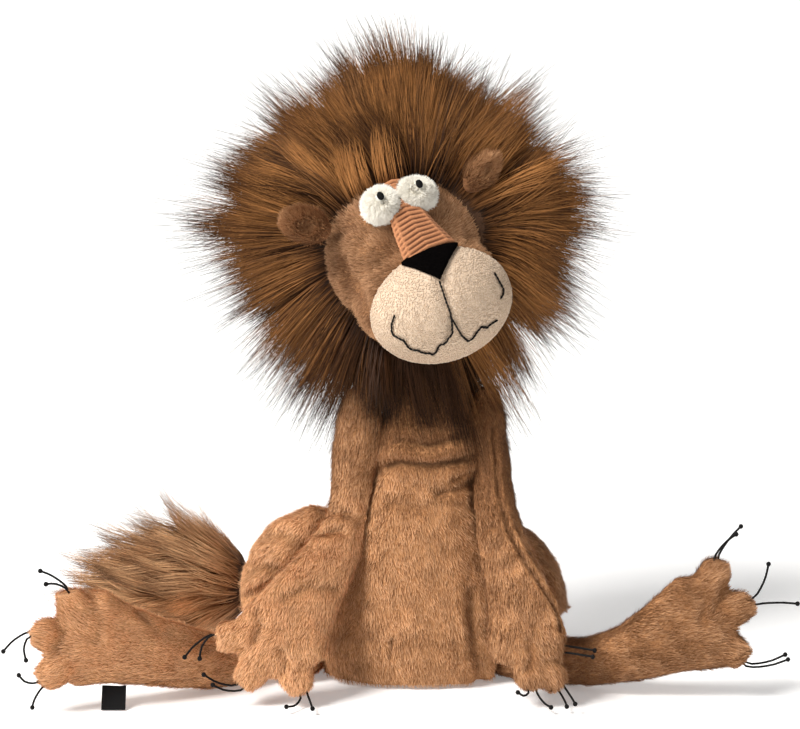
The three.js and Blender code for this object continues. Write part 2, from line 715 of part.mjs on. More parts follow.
function ear(sideName, grow = 0) {
  const side = sideName === "left" ? 1 : -1;
  const [out, ahead, up, beyond] = earPlaceShares[sideName];
  const x = side * ((skullWidth / 2) * out + earLength * beyond);
  const place = [x, (skullDepth / 2) * ahead, (skullHeight / 2) * up];
  const lobe = ball(earLength, earThickness, earHeight, grow, earFacets);
  const hollow = ball(earLength / 2, earDish * 2, earHeight / 2, 0, beadFacets);
  const dish = moved(hollow, (side * earLength) / 10, -earThickness / 2, 0);
  const lean = THREE.MathUtils.radToDeg(Math.atan2(place[2], Math.abs(place[0])));
  const shaped = grow > 0 ? lobe : lobe.subtract(dish);
  return moved(shaped.rotate([0, -side * lean, 0]), ...place);
}
for (const sideName of ["right", "left"]) {
  addPiece(head, `ear_${sideName}`, mainBody(without(ear(sideName), headSkin(seamGap))), plush);
}

// Mane. Each row: share of the way from the rim out to the tips, share of the way from front to back, and
// how strong the locks are there.
const maneShares = [
  [0.0, 0.06, 0],
  [0.15, 0.0, 0.2],
  [0.34, -0.02, 0.45],
  [0.45, 0.02, 0.05],
  [0.62, 0.07, 0.6],
  [0.72, 0.14, 0.05],
  [0.87, 0.25, 0.9],
  [0.91, 0.34, 0.15],
  [0.98, 0.45, 1.0],
  [0.94, 0.53, 0.1],
  [0.9, 0.65, 1.0],
  [0.76, 0.73, 0.1],
  [0.66, 0.85, 0.8],
  [0.4, 0.94, 0.3],
];

// Shares of the mane's radius that it reaches at even steps round the face, from the lion's left side over the
// top. It is fullest on the crown, narrow at the cheeks, and cut level over the shoulders.
const maneOutlineShares = [0.93, 0.98, 0.97, 1.09, 1.0, 1.06, 1.03, 0.89, 0.9, 0.9, 0.89, 0.86];

function maneReach(angle) {
  const steps = maneOutlineShares.length;
  const place = (angle / (2 * Math.PI)) * steps;
  const step = Math.floor(place) % steps;
  const eased = (1 - Math.cos(Math.PI * (place % 1))) / 2;
  const full = maneRadius * mix(maneOutlineShares[step], maneOutlineShares[(step + 1) % steps], eased);
  const down = Math.max(-Math.sin(angle), 0) / (headHeight - maneClearance);
  return (full ** -maneCornerPower + down ** maneCornerPower) ** (-1 / maneCornerPower);
}

function mane() {
  const columns = maneLocks * columnsPerLock;
  const sections = maneShares.map(([out, back, strength], row) => {
    const section = [];
    for (let column = 0; column < columns; column++) {
      const angle = (2 * Math.PI * column) / columns;
      const below = Math.max(-Math.sin(angle), 0);
      const reach = maneReach(angle);
      const isTip = (column + Math.floor(row / 2)) % columnsPerLock === 0;
      const unevenness = 0.8 + 0.2 * Math.sin(5 * angle + row) * Math.sin(3 * angle);
      const lift = isTip ? lockHeight * strength * unevenness * (1 - below * below) : 0;
      const radius = mix(maneRimRadius, reach, out) + lift;
      const front = -maneFront - beardForward * below ** 3 * (1 - back);
      const y = mix(front, maneBack, back) + (lift * row) / maneShares.length / 2;
      section.push(new THREE.Vector3(radius * Math.cos(angle), y, radius * Math.sin(angle)));
    }
    return section;
  });
  return skinOver(new THREE.Vector3(0, -maneFront / 2, 0), sections, new THREE.Vector3(0, maneBack, 0));
}
const faceRoom = joined(headSkin(seamGap), muzzlePad(seamGap), eyesRoom, bridge(seamGap));
const earRoom = joined(ear("right", seamGap), ear("left", seamGap));
const maneHollow = joined(fromHeadToMane(joined(faceRoom, earRoom)), into(maneGroup, neck(seamGap)));
addPiece(maneGroup, "mane", mainBody(without(mane(), maneHollow)), longPile);

// Tail: a tube that leaves the back at its round root and lies along the floor behind the right haunch.
// Each row: share of the tail's reach, and its place backwards and upwards in tail radii from the root.
const tailShares = [
  [0, 0, 0],
  [0.25, 1, -0.5],
  [0.6, 1, -0.3],
  [1, -0.6, 1.6],
];

function tail(grow = 0) {
  const rows = tailShares.map(([out, back, up]) => ({
    middle: [tailRoot[0] - tailReach * out, tailRoot[1] + tailRadius * back, tailRoot[2] + tailRadius * up],
    width: tailRadius * 2,
    thickness: tailRadius * 2,
  }));
  const form = { rows, face: [0, -1, 0.2], ...tailFacets, domeShare: 0.07, squareness: 2 };
  return joined(without(stuffed(form, grow), torsoSkin(seamGap)), tailRootBall(grow));
}

// Tuft. Each row: share of its length from the tail, and the share of its height and depth there.
const tuftShares = [
  [0, 0.3],
  [0.07, 0.74],
  [0.2, 0.96],
  [0.36, 1.0],
  [0.54, 0.92],
  [0.72, 0.72],
  [0.88, 0.42],
  [1.0, 0.1],
];

function tuft() {
  const startX = tailRoot[0] - tailReach + tailRadius;
  const y = tailRoot[1] - tailRadius;
  const stations = tuftShares.map(([along, size]) => new THREE.Vector3(along, size, 0));
  const profile = new THREE.CatmullRomCurve3(stations);
  const columns = tuftLocks * columnsPerLock;
    const sections = [];
  for (let row = 0; row <= tuftRows; row++) {
    const { x: along, y: size } = profile.getPoint(row / tuftRows);
    const section = [];
    for (let column = 0; column < columns; column++) {
      const angle = (2 * Math.PI * column) / columns;
      const lock = (column + row) % columnsPerLock === 0 ? tuftLockHeight * size : 0;
      const across = (tuftDepth * size) / 2 - tuftLockHeight / 2 + lock / 2;
      const up = (tuftHeight * size) / 2 - tuftLockHeight / 2 + lock / 2;
      section.push(
        new THREE.Vector3(
          startX - tuftLength * along - lock,
          y + across * Math.cos(angle),
          tuftRise - (tuftHeight / 12) * along + up * Math.sin(angle),
        ),
      );
    }
    sections.push(section);
  }
  const start = new THREE.Vector3(startX + tailRadius / 3, y, tuftRise);
  const end = new THREE.Vector3(startX - tuftLength - tuftLockHeight * 2, y, tuftRise - tuftHeight / 10);
  return mainBody(without(skinOver(start, sections, end), tail(seamGap), underFloor));
}
addPiece(lion, "tail", tail(), plush);
addPiece(lion, "tail_tuft", tuft(), tuftPile);

export default lion;
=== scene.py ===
"""The looks of a seated plush lion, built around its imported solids. Metres, +Z up, and it faces -Y."""
import math

import bmesh
import bpy
import numpy as np
from mathutils import Matrix, Vector, noise
from mathutils.bvhtree import BVHTree


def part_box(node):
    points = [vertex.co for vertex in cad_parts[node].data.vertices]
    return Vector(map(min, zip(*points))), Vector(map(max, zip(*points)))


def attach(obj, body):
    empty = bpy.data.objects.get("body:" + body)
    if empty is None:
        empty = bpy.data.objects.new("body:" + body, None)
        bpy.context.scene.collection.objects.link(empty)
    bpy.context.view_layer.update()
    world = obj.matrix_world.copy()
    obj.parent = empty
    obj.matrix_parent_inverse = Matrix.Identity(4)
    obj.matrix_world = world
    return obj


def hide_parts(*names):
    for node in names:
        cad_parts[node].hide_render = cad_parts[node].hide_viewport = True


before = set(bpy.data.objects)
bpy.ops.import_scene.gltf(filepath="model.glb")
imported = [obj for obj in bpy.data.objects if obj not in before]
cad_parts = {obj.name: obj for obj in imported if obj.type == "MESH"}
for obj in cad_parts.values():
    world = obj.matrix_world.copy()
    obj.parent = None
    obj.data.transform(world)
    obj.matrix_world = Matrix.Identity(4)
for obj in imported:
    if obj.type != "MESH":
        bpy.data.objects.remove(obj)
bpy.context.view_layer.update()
scene = bpy.context.scene
mm = 0.001

# Camera, floor and light.
# The lion sits on a white sweep in soft daylight from the upper left. The camera looks down a little with a
# long lens from 1.6 m.
PICTURE = (800, 729)
LENS_PIXELS = 2580.6
CAMERA_PLACE = Vector((-9.3, -1575.7, 472.2)) * mm
CAMERA_PITCH = math.radians(10)
FILM_WIDTH = 36
SWEEP_BACK = 1.6
SWEEP_BEND = 1.2


def new_object(name, data):
    """An object of a mesh, a lamp or a camera, or of a mesh that is still being built."""
    if isinstance(data, bmesh.types.BMesh):
        built, data = data, bpy.data.meshes.new(name)
        built.to_mesh(data)
    obj = bpy.data.objects.new(name, data)
    scene.collection.objects.link(obj)
    return obj


camera = new_object("camera", bpy.data.cameras.new("camera"))
camera.location = CAMERA_PLACE
camera.rotation_euler = (math.pi / 2 - CAMERA_PITCH, 0, 0)
camera.data.sensor_width = FILM_WIDTH
camera.data.lens = FILM_WIDTH * LENS_PIXELS / PICTURE[0]
camera.data.clip_end = 50
scene.camera = camera
scene.view_settings.view_transform = "Standard"


def into_view(x, y):
    """The direction in which the camera sees a pixel of the picture."""
    right = x - PICTURE[0] / 2
    up = PICTURE[1] / 2 - y
    return (camera.matrix_basis.to_3x3() @ Vector((right, up, -LENS_PIXELS))).normalized()


def area_light(name, place, target, size, power, color=(1, 1, 1)):
    lamp = bpy.data.lights.new(name, "AREA")
    lamp.size = size
    lamp.energy = power
    lamp.color = color
    obj = new_object(name, lamp)
    obj.location = place
    obj.rotation_euler = (Vector(target) - Vector(place)).to_track_quat("-Z", "Y").to_euler()


area_light("window", (-1.8, -1.25, 2.4), (0, 0, 0.2), 1.3, 165, (1.0, 0.985, 0.96))
area_light("fill", (1.7, -1.5, 1.0), (0, 0, 0.2), 1.4, 9, (0.98, 0.99, 1.0))
sky = bpy.data.worlds.new("studio")
sky.use_nodes = True
sky.node_tree.nodes["Background"].inputs["Color"].default_value = (1, 1, 1, 1)
sky.node_tree.nodes["Background"].inputs["Strength"].default_value = 0.2
scene.world = sky

# The sweep: flat under the lion, and curving up behind it.
sweep_profile = [(-4.0, 0.0), (SWEEP_BACK, 0.0)]
sweep_profile += [(SWEEP_BACK + SWEEP_BEND * math.sin(a), SWEEP_BEND - SWEEP_BEND * math.cos(a))
                  for a in np.radians(np.arange(6, 91, 6))]
sweep_profile += [(SWEEP_BACK + SWEEP_BEND, 5.0)]
sweep = bmesh.new()
left_edge, right_edge = [[sweep.verts.new((x, y, z)) for y, z in sweep_profile] for x in (-5.0, 5.0)]
for a, b, c, d in zip(left_edge, right_edge, right_edge[1:], left_edge[1:]):
    sweep.faces.new((a, b, c, d)).smooth = True
floor = new_object("floor", sweep)
paper = bpy.data.materials.new("paper")
paper.use_nodes = True
for socket, value in (("Base Color", (0.95, 0.945, 0.94, 1)), ("Roughness", 0.9), ("Emission Color", (1, 1, 1, 1)),
                      ("Emission Strength", 0.22)):
    paper.node_tree.nodes["Principled BSDF"].inputs[socket].default_value = value
floor.data.materials.append(paper)

# Torso.
# A pear of short caramel plush, sewn from a front and a back and stuffed with fibre. The pile lies downwards,
# is darker at its roots, and is gathered into a fold where the chest meets the belly.
CARAMEL = (0.48, 0.235, 0.1)
CARAMEL_ROOT = (0.28, 0.118, 0.042)
CARAMEL_TIP = (0.64, 0.365, 0.2)
PILE_LENGTH = 3.5 * mm
PILE_WIDTH = 0.45 * mm
SKIN_INSET = 1.6 * mm
STRAND_TONE = 0.32


class Wiring:
    """Adds nodes to a tree. Each input is given a value or another node's output."""

    def __init__(self, tree):
        self.tree = tree

    def __call__(self, kind, out=0, inputs=None, **settings):
        node = self.tree.nodes.new(kind)
        for key, value in settings.items():
            setattr(node, key, value)
        for key, value in (inputs or {}).items():
            self.join(node.inputs[key], value)
        return node.outputs[out]

    def join(self, socket, value):
        if isinstance(value, bpy.types.NodeSocket):
            self.tree.links.new(value, socket)
        else:
            socket.default_value = value

    def sums(self, operation, *values):
        """Arithmetic on numbers."""
        return self("ShaderNodeMath", inputs=dict(enumerate(values)), operation=operation)

    def product(self, *values):
        total = values[0]
        for value in values[1:]:
            total = self.sums("MULTIPLY", total, value)
        return total

    def turns(self, operation, *values):
        """Arithmetic on vectors."""
        return self("ShaderNodeVectorMath", inputs=dict(enumerate(values)), operation=operation)

    def scaled(self, vector, factor):
        return self("ShaderNodeVectorMath", inputs={0: vector, "Scale": factor}, operation="SCALE")

    def axes(self, vector):
        """The three numbers of a vector."""
        return self("ShaderNodeSeparateXYZ", inputs={0: vector}).node.outputs

    def texture(self, kind, scale, settings=None, **inputs):
        """A texture in the object's own place."""
        place = self("ShaderNodeTexCoord", out="Object")
        return self(f"ShaderNodeTex{kind}", inputs={"Vector": place, "Scale": scale, **inputs}, **(settings or {}))

    def named(self, name, kind="FLOAT"):
        return self("GeometryNodeInputNamedAttribute", inputs={"Name": name}, data_type=kind)

    def stored(self, geometry, name, value, kind="FLOAT", domain="POINT"):
        inputs = {"Geometry": geometry, "Name": name, "Value": value}
        return self("GeometryNodeStoreNamedAttribute", inputs=inputs, data_type=kind, domain=domain)

    def placed(self, points, instance, **inputs):
        """A real copy of the instance at each point."""
        made = self("GeometryNodeInstanceOnPoints", inputs={"Points": points, "Instance": instance, **inputs})
        return self("GeometryNodeRealizeInstances", inputs={"Geometry": made})

    def ends(self, geometry, finish, result):
        """Closes a tree: its geometry comes out smooth, and in its finish."""
        geometry = self("GeometryNodeSetShadeSmooth", inputs={"Geometry": geometry})
        geometry = self("GeometryNodeSetMaterial", inputs={"Geometry": geometry, "Material": finish})
        self.join(result.inputs[0], geometry)


def tree_with(name, source, **sizes):
    """A Geometry Nodes tree with a source, named sizes and a finish as its inputs, and its wiring and ends."""
    tree = bpy.data.node_groups.new(name, "GeometryNodeTree")
    tree.interface.new_socket(source, in_out="INPUT", socket_type="NodeSocketGeometry")
    for label, value in sizes.items():
        kind = "NodeSocketInt" if isinstance(value, int) else "NodeSocketFloat"
        tree.interface.new_socket(label, in_out="INPUT", socket_type=kind).default_value = value
    tree.interface.new_socket("Finish", in_out="INPUT", socket_type="NodeSocketMaterial")
    tree.interface.new_socket("Result", in_out="OUTPUT", socket_type="NodeSocketGeometry")
    return tree, Wiring(tree), tree.nodes.new("NodeGroupInput").outputs, tree.nodes.new("NodeGroupOutput")


def pile_tree():
    """Strands that grow from a cloth. The cloth's own values say how the pile lies (comb), how long it is
    (reach), where it grows (cover) and its shade. Each strand is a narrow ribbon that tapers to its tip."""
    tree, wire, size, result = tree_with(
        "pile", "Cloth", Density=1e6, Length=0.004, Width=0.0005, Segments=1, Lean=0.7, Scatter=0.2, Curve=0.0,
        Droop=0.0, Drift=0.2, Drift_size=0.02, Lock_pull=0.0, Lock_size=0.012, Lock_stray=0.0, Lock_tone=0.0,
        Patch_tone=0.0, Uneven=0.25, Taper=0.8, Roll=0.6, Seed=1)
    density = wire.product(size["Density"], wire.named("cover"))
    scattered = wire("GeometryNodeDistributePointsOnFaces",
                     inputs={"Mesh": size["Cloth"], "Density": density, "Seed": size["Seed"]}).node.outputs
    luck = wire("FunctionNodeRandomValue", data_type="FLOAT_VECTOR",
                inputs={"Min": (-1, -1, -1), "Max": (1, 1, 1), "Seed": size["Seed"]})
    points = wire.stored(scattered["Points"], "upward", scattered["Normal"], "FLOAT_VECTOR")
    points = wire.stored(points, "root", wire("GeometryNodeInputPosition"), "FLOAT_VECTOR")
    points = wire.stored(points, "luck", luck, "FLOAT_VECTOR")

    rows = wire.sums("ADD", size["Segments"], 1)
    ribbon = wire("GeometryNodeMeshGrid", inputs={"Size X": 2, "Size Y": 1, "Vertices X": 2, "Vertices Y": rows})
    across, up_ribbon, _ = wire.axes(wire("GeometryNodeInputPosition"))
    ribbon = wire.stored(ribbon, "along", wire.sums("ADD", up_ribbon, 0.5))
    ribbon = wire.stored(ribbon, "across", across)
    strands = wire.placed(points, ribbon, Scale=(0, 0, 0))

    along, across, reach, shade = [wire.named(name) for name in ("along", "across", "reach", "shade")]
    upward, comb, root, luck = [wire.named(name, "FLOAT_VECTOR") for name in ("upward", "comb", "root", "luck")]
    luck_x, _, luck_z = wire.axes(luck)
    along_2 = wire.product(along, along)

    # The way of a strand, and its length.
    stands = wire.scaled(upward, wire.sums("SUBTRACT", 1, size["Lean"]))
    lies = wire.scaled(comb, size["Lean"])
    strays = wire.scaled(luck, size["Scatter"])
    way = wire.turns("NORMALIZE", wire.turns("ADD", wire.turns("ADD", stands, lies), strays))
    length = wire.product(size["Length"], reach, wire.sums("MULTIPLY_ADD", luck_z, size["Uneven"], 1))

    # How far it leaves the straight: its bend, its weight, the drift of a patch and the pull of its lock.
    bend = wire.scaled(wire.turns("SUBTRACT", comb, upward), wire.product(length, size["Curve"], along_2))
    droop = wire.scaled(wire("ShaderNodeCombineXYZ", inputs={"Z": -1}), wire.product(length, size["Droop"], along_2))
    fineness = wire.sums("DIVIDE", 1, size["Drift_size"])
    cloudy = wire("ShaderNodeTexNoise", out="Color", inputs={"Vector": root, "Scale": fineness, "Detail": 1.0})
    cloudy = wire.turns("SUBTRACT", cloudy, (0.5, 0.5, 0.5))
    drift = wire.scaled(cloudy, wire.product(length, size["Drift"], wire.sums("POWER", along, 1.5)))
    cells = wire.sums("DIVIDE", 1, size["Lock_size"])
    lock = wire("ShaderNodeTexVoronoi", out="Position", inputs={"Vector": root, "Scale": cells})
    lock_luck = wire.turns("SUBTRACT", lock.node.outputs["Color"], (0.5, 0.5, 0.5))
    pull = wire.scaled(wire.turns("SUBTRACT", lock, root), wire.product(size["Lock_pull"], along))
    strayed = wire.scaled(lock_luck, wire.product(length, size["Lock_stray"], along_2))
    offset = wire.scaled(way, wire.product(length, along))
    for part in (bend, droop, drift, pull, strayed):
        offset = wire.turns("ADD", offset, part)

    # Its width, which narrows to the tip.
    rolled = wire.turns("ADD", upward, wire.scaled(luck, size["Roll"]))
    side = wire.turns("NORMALIZE", wire.turns("CROSS_PRODUCT", way, rolled))
    narrowing = wire.sums("SUBTRACT", 1, wire.product(along, size["Taper"]))
    aside = wire.scaled(side, wire.product(across, wire.product(size["Width"], 0.5, narrowing)))
    place = wire.turns("ADD", wire.turns("ADD", root, offset), aside)
    strands = wire("GeometryNodeSetPosition", inputs={"Geometry": strands, "Position": place})

    # Its tone: its own, that of its lock and that of its patch.
    tone = wire.sums("MULTIPLY_ADD", luck_x, STRAND_TONE, wire.sums("MULTIPLY_ADD", across, 0.01, shade))
    tone = wire.sums("MULTIPLY_ADD", wire.axes(lock_luck)["X"], size["Lock_tone"], tone)
    tone = wire.sums("MULTIPLY_ADD", wire.axes(cloudy)["X"], size["Patch_tone"], tone)
    pair = wire("ShaderNodeCombineXYZ", inputs={"X": tone, "Y": along})
    strands = wire.stored(strands, "OFBake", pair, "FLOAT2", "CORNER")
    wire.ends(strands, size["Finish"], result)
    return tree


def settled(obj):
    """The piece with its modifiers worked into a plain mesh."""
    graph = bpy.context.evaluated_depsgraph_get()
    mesh = bpy.data.meshes.new_from_object(obj.evaluated_get(graph), preserve_all_data_layers=True, depsgraph=graph)
    obj.modifiers.clear()
    obj.data = mesh
    mesh.name = obj.name
    return obj


def vectors(layer, key):
    values = np.empty(len(layer) * 3, np.float32)
    layer.foreach_get(key, values)
    return values.reshape(-1, 3).astype(float)


def places(mesh):
    return vectors(mesh.vertices, "co")


def normals(mesh):
    return vectors(mesh.vertex_normals, "vector")


def put(mesh, co):
    mesh.vertices.foreach_set("co", np.asarray(co, np.float32).ravel())
    mesh.update()


def unit(vectors):
    vectors = np.asarray(vectors, float)
    return vectors / np.maximum(np.linalg.norm(vectors, axis=-1, keepdims=True), 1e-9)


def eased(mesh, passes, back=-0.52):
    """Smooths a skin, and by the step back keeps it from shrinking."""
    edges = np.empty(len(mesh.edges) * 2, np.int32)
    mesh.edges.foreach_get("vertices", edges)
    a, b = edges.reshape(-1, 2).T
    co = places(mesh)
    count = len(co)
    neighbours = np.maximum(np.bincount(a, minlength=count) + np.bincount(b, minlength=count), 1)
    for step in (0.5, back) * passes:
        for axis in range(3):
            value = co[:, axis]
            total = np.bincount(a, value[b], count) + np.bincount(b, value[a], count)
            co[:, axis] = value + step * (total / neighbours - value)
    put(mesh, co)


def skin_of(name, node, voxel, passes, finish, inset=0.0):
    """A fine smooth skin in one finish, in the place of a solid."""
    merged = bmesh.new()
    merged.from_mesh(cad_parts[node].data)
    bmesh.ops.remove_doubles(merged, verts=merged.verts, dist=0.01 * mm)
    obj = new_object(name, merged)
    remesh = obj.modifiers.new("cloth", "REMESH")
    remesh.mode = "VOXEL"
    remesh.voxel_size = voxel
    settled(obj)
    obj.data.materials.clear()
    obj.data.materials.append(finish)
    eased(obj.data, passes)
    if inset:
        put(obj.data, places(obj.data) - normals(obj.data) * inset)
    obj.data.shade_smooth()
    return obj


def value_on(mesh, name, values, kind="FLOAT"):
    attribute = mesh.attributes.get(name) or mesh.attributes.new(name, kind, "POINT")
    key = "vector" if kind == "FLOAT_VECTOR" else "value"
    attribute.data.foreach_set(key, np.asarray(values, np.float32).ravel())


def groomed(mesh, way, cover=1.0, reach=1.0, shade=0.5, flat=True):
    """Says how the pile of a skin lies, flat along it or in a free way, and where and how it grows."""
    count = len(mesh.vertices)
    way = np.broadcast_to(np.asarray(way, float), (count, 3))
    if flat:
        up = normals(mesh)
        way = unit(way - up * np.sum(way * up, 1, keepdims=True))
    value_on(mesh, "comb", way, "FLOAT_VECTOR")
    for name, value in (("cover", cover), ("reach", reach), ("shade", shade)):
        value_on(mesh, name, np.broadcast_to(np.asarray(value, float), (count,)))


def tree_of(mesh):
    return BVHTree.FromPolygons([v.co.copy() for v in mesh.vertices], [p.vertices[:] for p in mesh.polygons])


def away_from_line(co, tree, pixels):
    """How far each point is from a line that is given by its pixels in the picture."""
    line = [tree.ray_cast(CAMERA_PLACE, into_view(*pixel))[0] for pixel in pixels]
    line = [point for point in line if point]
    dense = np.array([a.lerp(b, t) for a, b in zip(line, line[1:]) for t in np.linspace(0, 1, 12)])
    nearest = np.full(len(co), 1.0)
    for point in dense:
        nearest = np.minimum(nearest, np.sum((co - point) ** 2, 1))
    return np.sqrt(nearest)


# A fold this many millimetres deep gets the full painted shade; shallower ones get less.
FULL_SHADE_FOLD_DEPTH = 4.4


def creased(mesh, creases):
    """Presses folds and seams into a skin, and returns where their lines of painted shade lie."""
    tree, co, up = tree_of(mesh), places(mesh), normals(mesh)
    sunk, dark = np.zeros(len(co)), np.zeros(len(co))
    for pixels, width, depth in creases:
        away = away_from_line(co, tree, pixels) / (width * mm)
        lip = 0.4 * np.exp(-(((away - 2.2) / 1.1) ** 2))
        sunk += depth * mm * (np.exp(-(away ** 2)) - lip)
        # Painted shade: darkest along the middle of each fold, and more so the deeper it is.
        dark = np.maximum(dark, np.exp(-((away / 0.9) ** 2)) * min(depth / FULL_SHADE_FOLD_DEPTH, 1))
    put(mesh, co - up * sunk[:, None])
    return dark


def rumpled(mesh, size, depth):
    """Makes a stuffed skin uneven, with soft dents."""
    co, up = places(mesh), normals(mesh)
    rough = np.array([noise.noise(Vector(point) / size) for point in co])
    dents = np.clip(1 - 3.5 * np.abs(rough), 0, 1) ** 2
    put(mesh, co + up * (depth * (rough - 0.8 * dents))[:, None])


PILE = pile_tree()
SCRATCH = ("comb", "cover", "reach", "shade", "upward", "root", "luck", "along", "across")


def grown_on(name, mesh, tree, **sizes):
    """What a tree grows on a mesh, as a piece of its own."""
    obj = new_object(name, mesh)
    modifier = obj.modifiers.new(name, "NODES")
    modifier.node_group = tree
    for item in tree.interface.items_tree:
        if item.in_out == "INPUT" and item.name in sizes:
            modifier[item.identifier] = sizes[item.name]
    settled(obj)
    for scratch in SCRATCH:
        if scratch in obj.data.attributes:
            obj.data.attributes.remove(obj.data.attributes[scratch])
    return obj


def fitted(body, node, slot, *pieces):
    """Lets pieces ride on a body and stand for its solid, which is hidden. The name of a finish that it is given is
    not used.
    """
    for piece in pieces:
        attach(piece, body)
        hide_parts(node)


def new_finish(name, roughness=0.8, sheen=0.0, sheen_tint=(1, 1, 1), specular=0.3):
    material = bpy.data.materials.new(name)
    material.use_nodes = True
    shader = material.node_tree.nodes["Principled BSDF"]
    for socket, value in (("Roughness", roughness), ("Specular IOR Level", specular), ("Sheen Weight", sheen),
                          ("Sheen Tint", (*sheen_tint, 1)), ("Sheen Roughness", 0.5)):
        shader.inputs[socket].default_value = value
    return material, Wiring(material.node_tree), shader


def ramp(wire, factor, stops):
    """Colours along a factor, each at its place from 0 to 1."""
    out = wire("ShaderNodeValToRGB", inputs={"Fac": factor})
    elements = out.node.color_ramp.elements
    while len(elements) < len(stops):
        elements.new(0.5)
    for element, (place, color) in zip(elements, stops):
        element.position = place
        element.color = (*color, 1)
    return out


def blended(wire, factor, first, second, mode="MIX"):
    node = wire("ShaderNodeMix", inputs={0: factor}, data_type="RGBA", blend_type=mode).node
    for socket, value in ((node.inputs[6], first), (node.inputs[7], second)):
        wire.join(socket, value if isinstance(value, bpy.types.NodeSocket) else (*value, 1))
    return node.outputs[2]


def coloured(wire, shader, color, height, distance, strength=1.0):
    """Gives a finish its colour, and a bump of a depth from a height."""
    wire.join(shader.inputs["Base Color"], color)
    bump = wire("ShaderNodeBump", inputs={"Height": height, "Distance": distance, "Strength": strength})
    wire.join(shader.inputs["Normal"], bump)


def pile_finish(name, stops, pale, dark, roughness=0.75, specular=0.25):
    """The finish of strands: colours from root to tip, and from dark to pale strands."""
    material, wire, shader = new_finish(name, roughness, specular=specular)
    tone, along, _ = wire.axes(wire("ShaderNodeUVMap", uv_map="OFBake"))
    body = ramp(wire, along, stops)
    tint = ramp(wire, tone, [(0.0, dark), (0.5, (1, 1, 1)), (1.0, pale)])
    wire.join(shader.inputs["Base Color"], blended(wire, 1.0, body, tint, "MULTIPLY"))
    return material


# Near-black, for the painted shade in the folds and seams of a cloth.
FOLD_SHADE_COLOR = (0.035, 0.014, 0.006)


def cloth_finish(name, color, root, grain=0.004):
    """The ground of a pile cloth, mottled, as it shows between the strands, and painted darker in a fold as painted
    shade.
    """
    material, wire, shader = new_finish(name, 0.9, sheen=0.3, sheen_tint=color)
    mottle = wire.texture("Noise", 1 / grain, Detail=3.0)
    painted_fold_shade = wire("ShaderNodeAttribute", out="Fac", attribute_name="painted_fold_shade")
    ground = ramp(wire, mottle, [(0.3, root), (0.7, color)])
    coloured(wire, shader, blended(wire, painted_fold_shade, ground, FOLD_SHADE_COLOR), mottle, 0.5 * mm, 0.6)
    return material


plush_cloth = cloth_finish("plush_cloth", CARAMEL, CARAMEL_ROOT)
plush_pile = pile_finish("plush_pile", [(0.0, CARAMEL_ROOT), (0.45, CARAMEL), (1.0, CARAMEL_TIP)],
                         pale=(1.46, 1.53, 1.61), dark=(0.47, 0.4, 0.34))


def found(value, co, up):
    """A value, or what a function gives for the points of a skin."""
    return value(co, up) if callable(value) else value


def plush_piece(name, body, way, voxel=1.9 * mm, passes=16, density=2.2e6, cover=1.0, reach=1.0, shade=0.5,
                shape=None, creases=(), rumple=0.6 * mm, finish=plush_pile, seed=1):
    """A stuffed piece of short plush in the place of its solid: its skin, and the pile that grows from it."""
    skin = skin_of(f"{name}_skin", name, voxel, passes, plush_cloth, SKIN_INSET)
    rumpled(skin.data, 36 * mm, rumple)
    if shape:
        put(skin.data, shape(places(skin.data), normals(skin.data)))
    dark = creased(skin.data, creases)
    # Painted shade along the folds and seams: the cloth is coloured darker there, and the pile there grows sparser
    # and shorter and is painted darker.
    value_on(skin.data, "painted_fold_shade", 0.85 * dark)
    co, up = places(skin.data), normals(skin.data)
    groomed(skin.data, found(way, co, up), (1 - 0.92 * dark) * found(cover, co, up), reach * (1 - 0.7 * dark),
            found(shade, co, up) - 0.9 * dark)
    pile = grown_on(f"{name}_pile", skin.data, PILE, Density=density, Length=PILE_LENGTH, Width=PILE_WIDTH,
                    Lean=0.74, Scatter=0.24, Drift=1.1, Drift_size=0.012, Patch_tone=0.95, Lock_size=3.4 * mm,
                    Lock_pull=0.12, Lock_stray=0.2, Lock_tone=0.14, Roll=0.4, Seed=seed, Finish=finish)
    fitted(body, name, "plush", skin, pile)
    return skin


def painted_mane_shade(level, fall, shade, depth):
    """Painted shade under the mane: the pile of a piece is coloured darker from a level upwards, more and more over
    a fall above it.
    """
    return lambda co, up: shade - depth * np.clip((co[:, 2] - level * mm) / (fall * mm), 0, 1)


TORSO_PILE_FOOT, TORSO_PILE_TOP = 3 * mm, 195 * mm
SHOULDERS_START, SHOULDERS_FULL = 112 * mm, 130 * mm
SHOULDERS_OUT = 6 * mm


def torso_cover(co, up):
    """Pile grows everywhere but on the base and inside the head."""
    return (co[:, 2] > TORSO_PILE_FOOT) * (co[:, 2] < TORSO_PILE_TOP) * (up[:, 2] > -0.8)


def shoulders(co, up):
    """The chest is a little wider between the arms."""
    side = np.clip(np.abs(up[:, 0]) * 1.3 - 0.3, 0, 1)
    high = np.clip((co[:, 2] - SHOULDERS_START) / (SHOULDERS_FULL - SHOULDERS_START), 0, 1)
    return co + up * (SHOULDERS_OUT * side * high)[:, None]


# Folds and seams of the torso: pixels of the picture, and width and depth in millimetres.
torso_creases = [
    ([(384, 466), (400, 463), (430, 466), (452, 462), (468, 458)], 3.4, 4.4),
    ([(452, 478), (462, 474), (470, 470)], 2.6, 2.4),
    ([(440, 492), (456, 488), (470, 481)], 3.0, 2.4),
    ([(400, 440), (430, 445), (462, 436)], 3.0, 2.8),
    ([(386, 500), (410, 506), (440, 503)], 5.0, 1.2),
    ([(391, 640), (391, 655), (392, 688)], 1.8, 1.8),
    ([(470, 590), (471, 620), (474, 650), (480, 680)], 3.4, 1.8),
]
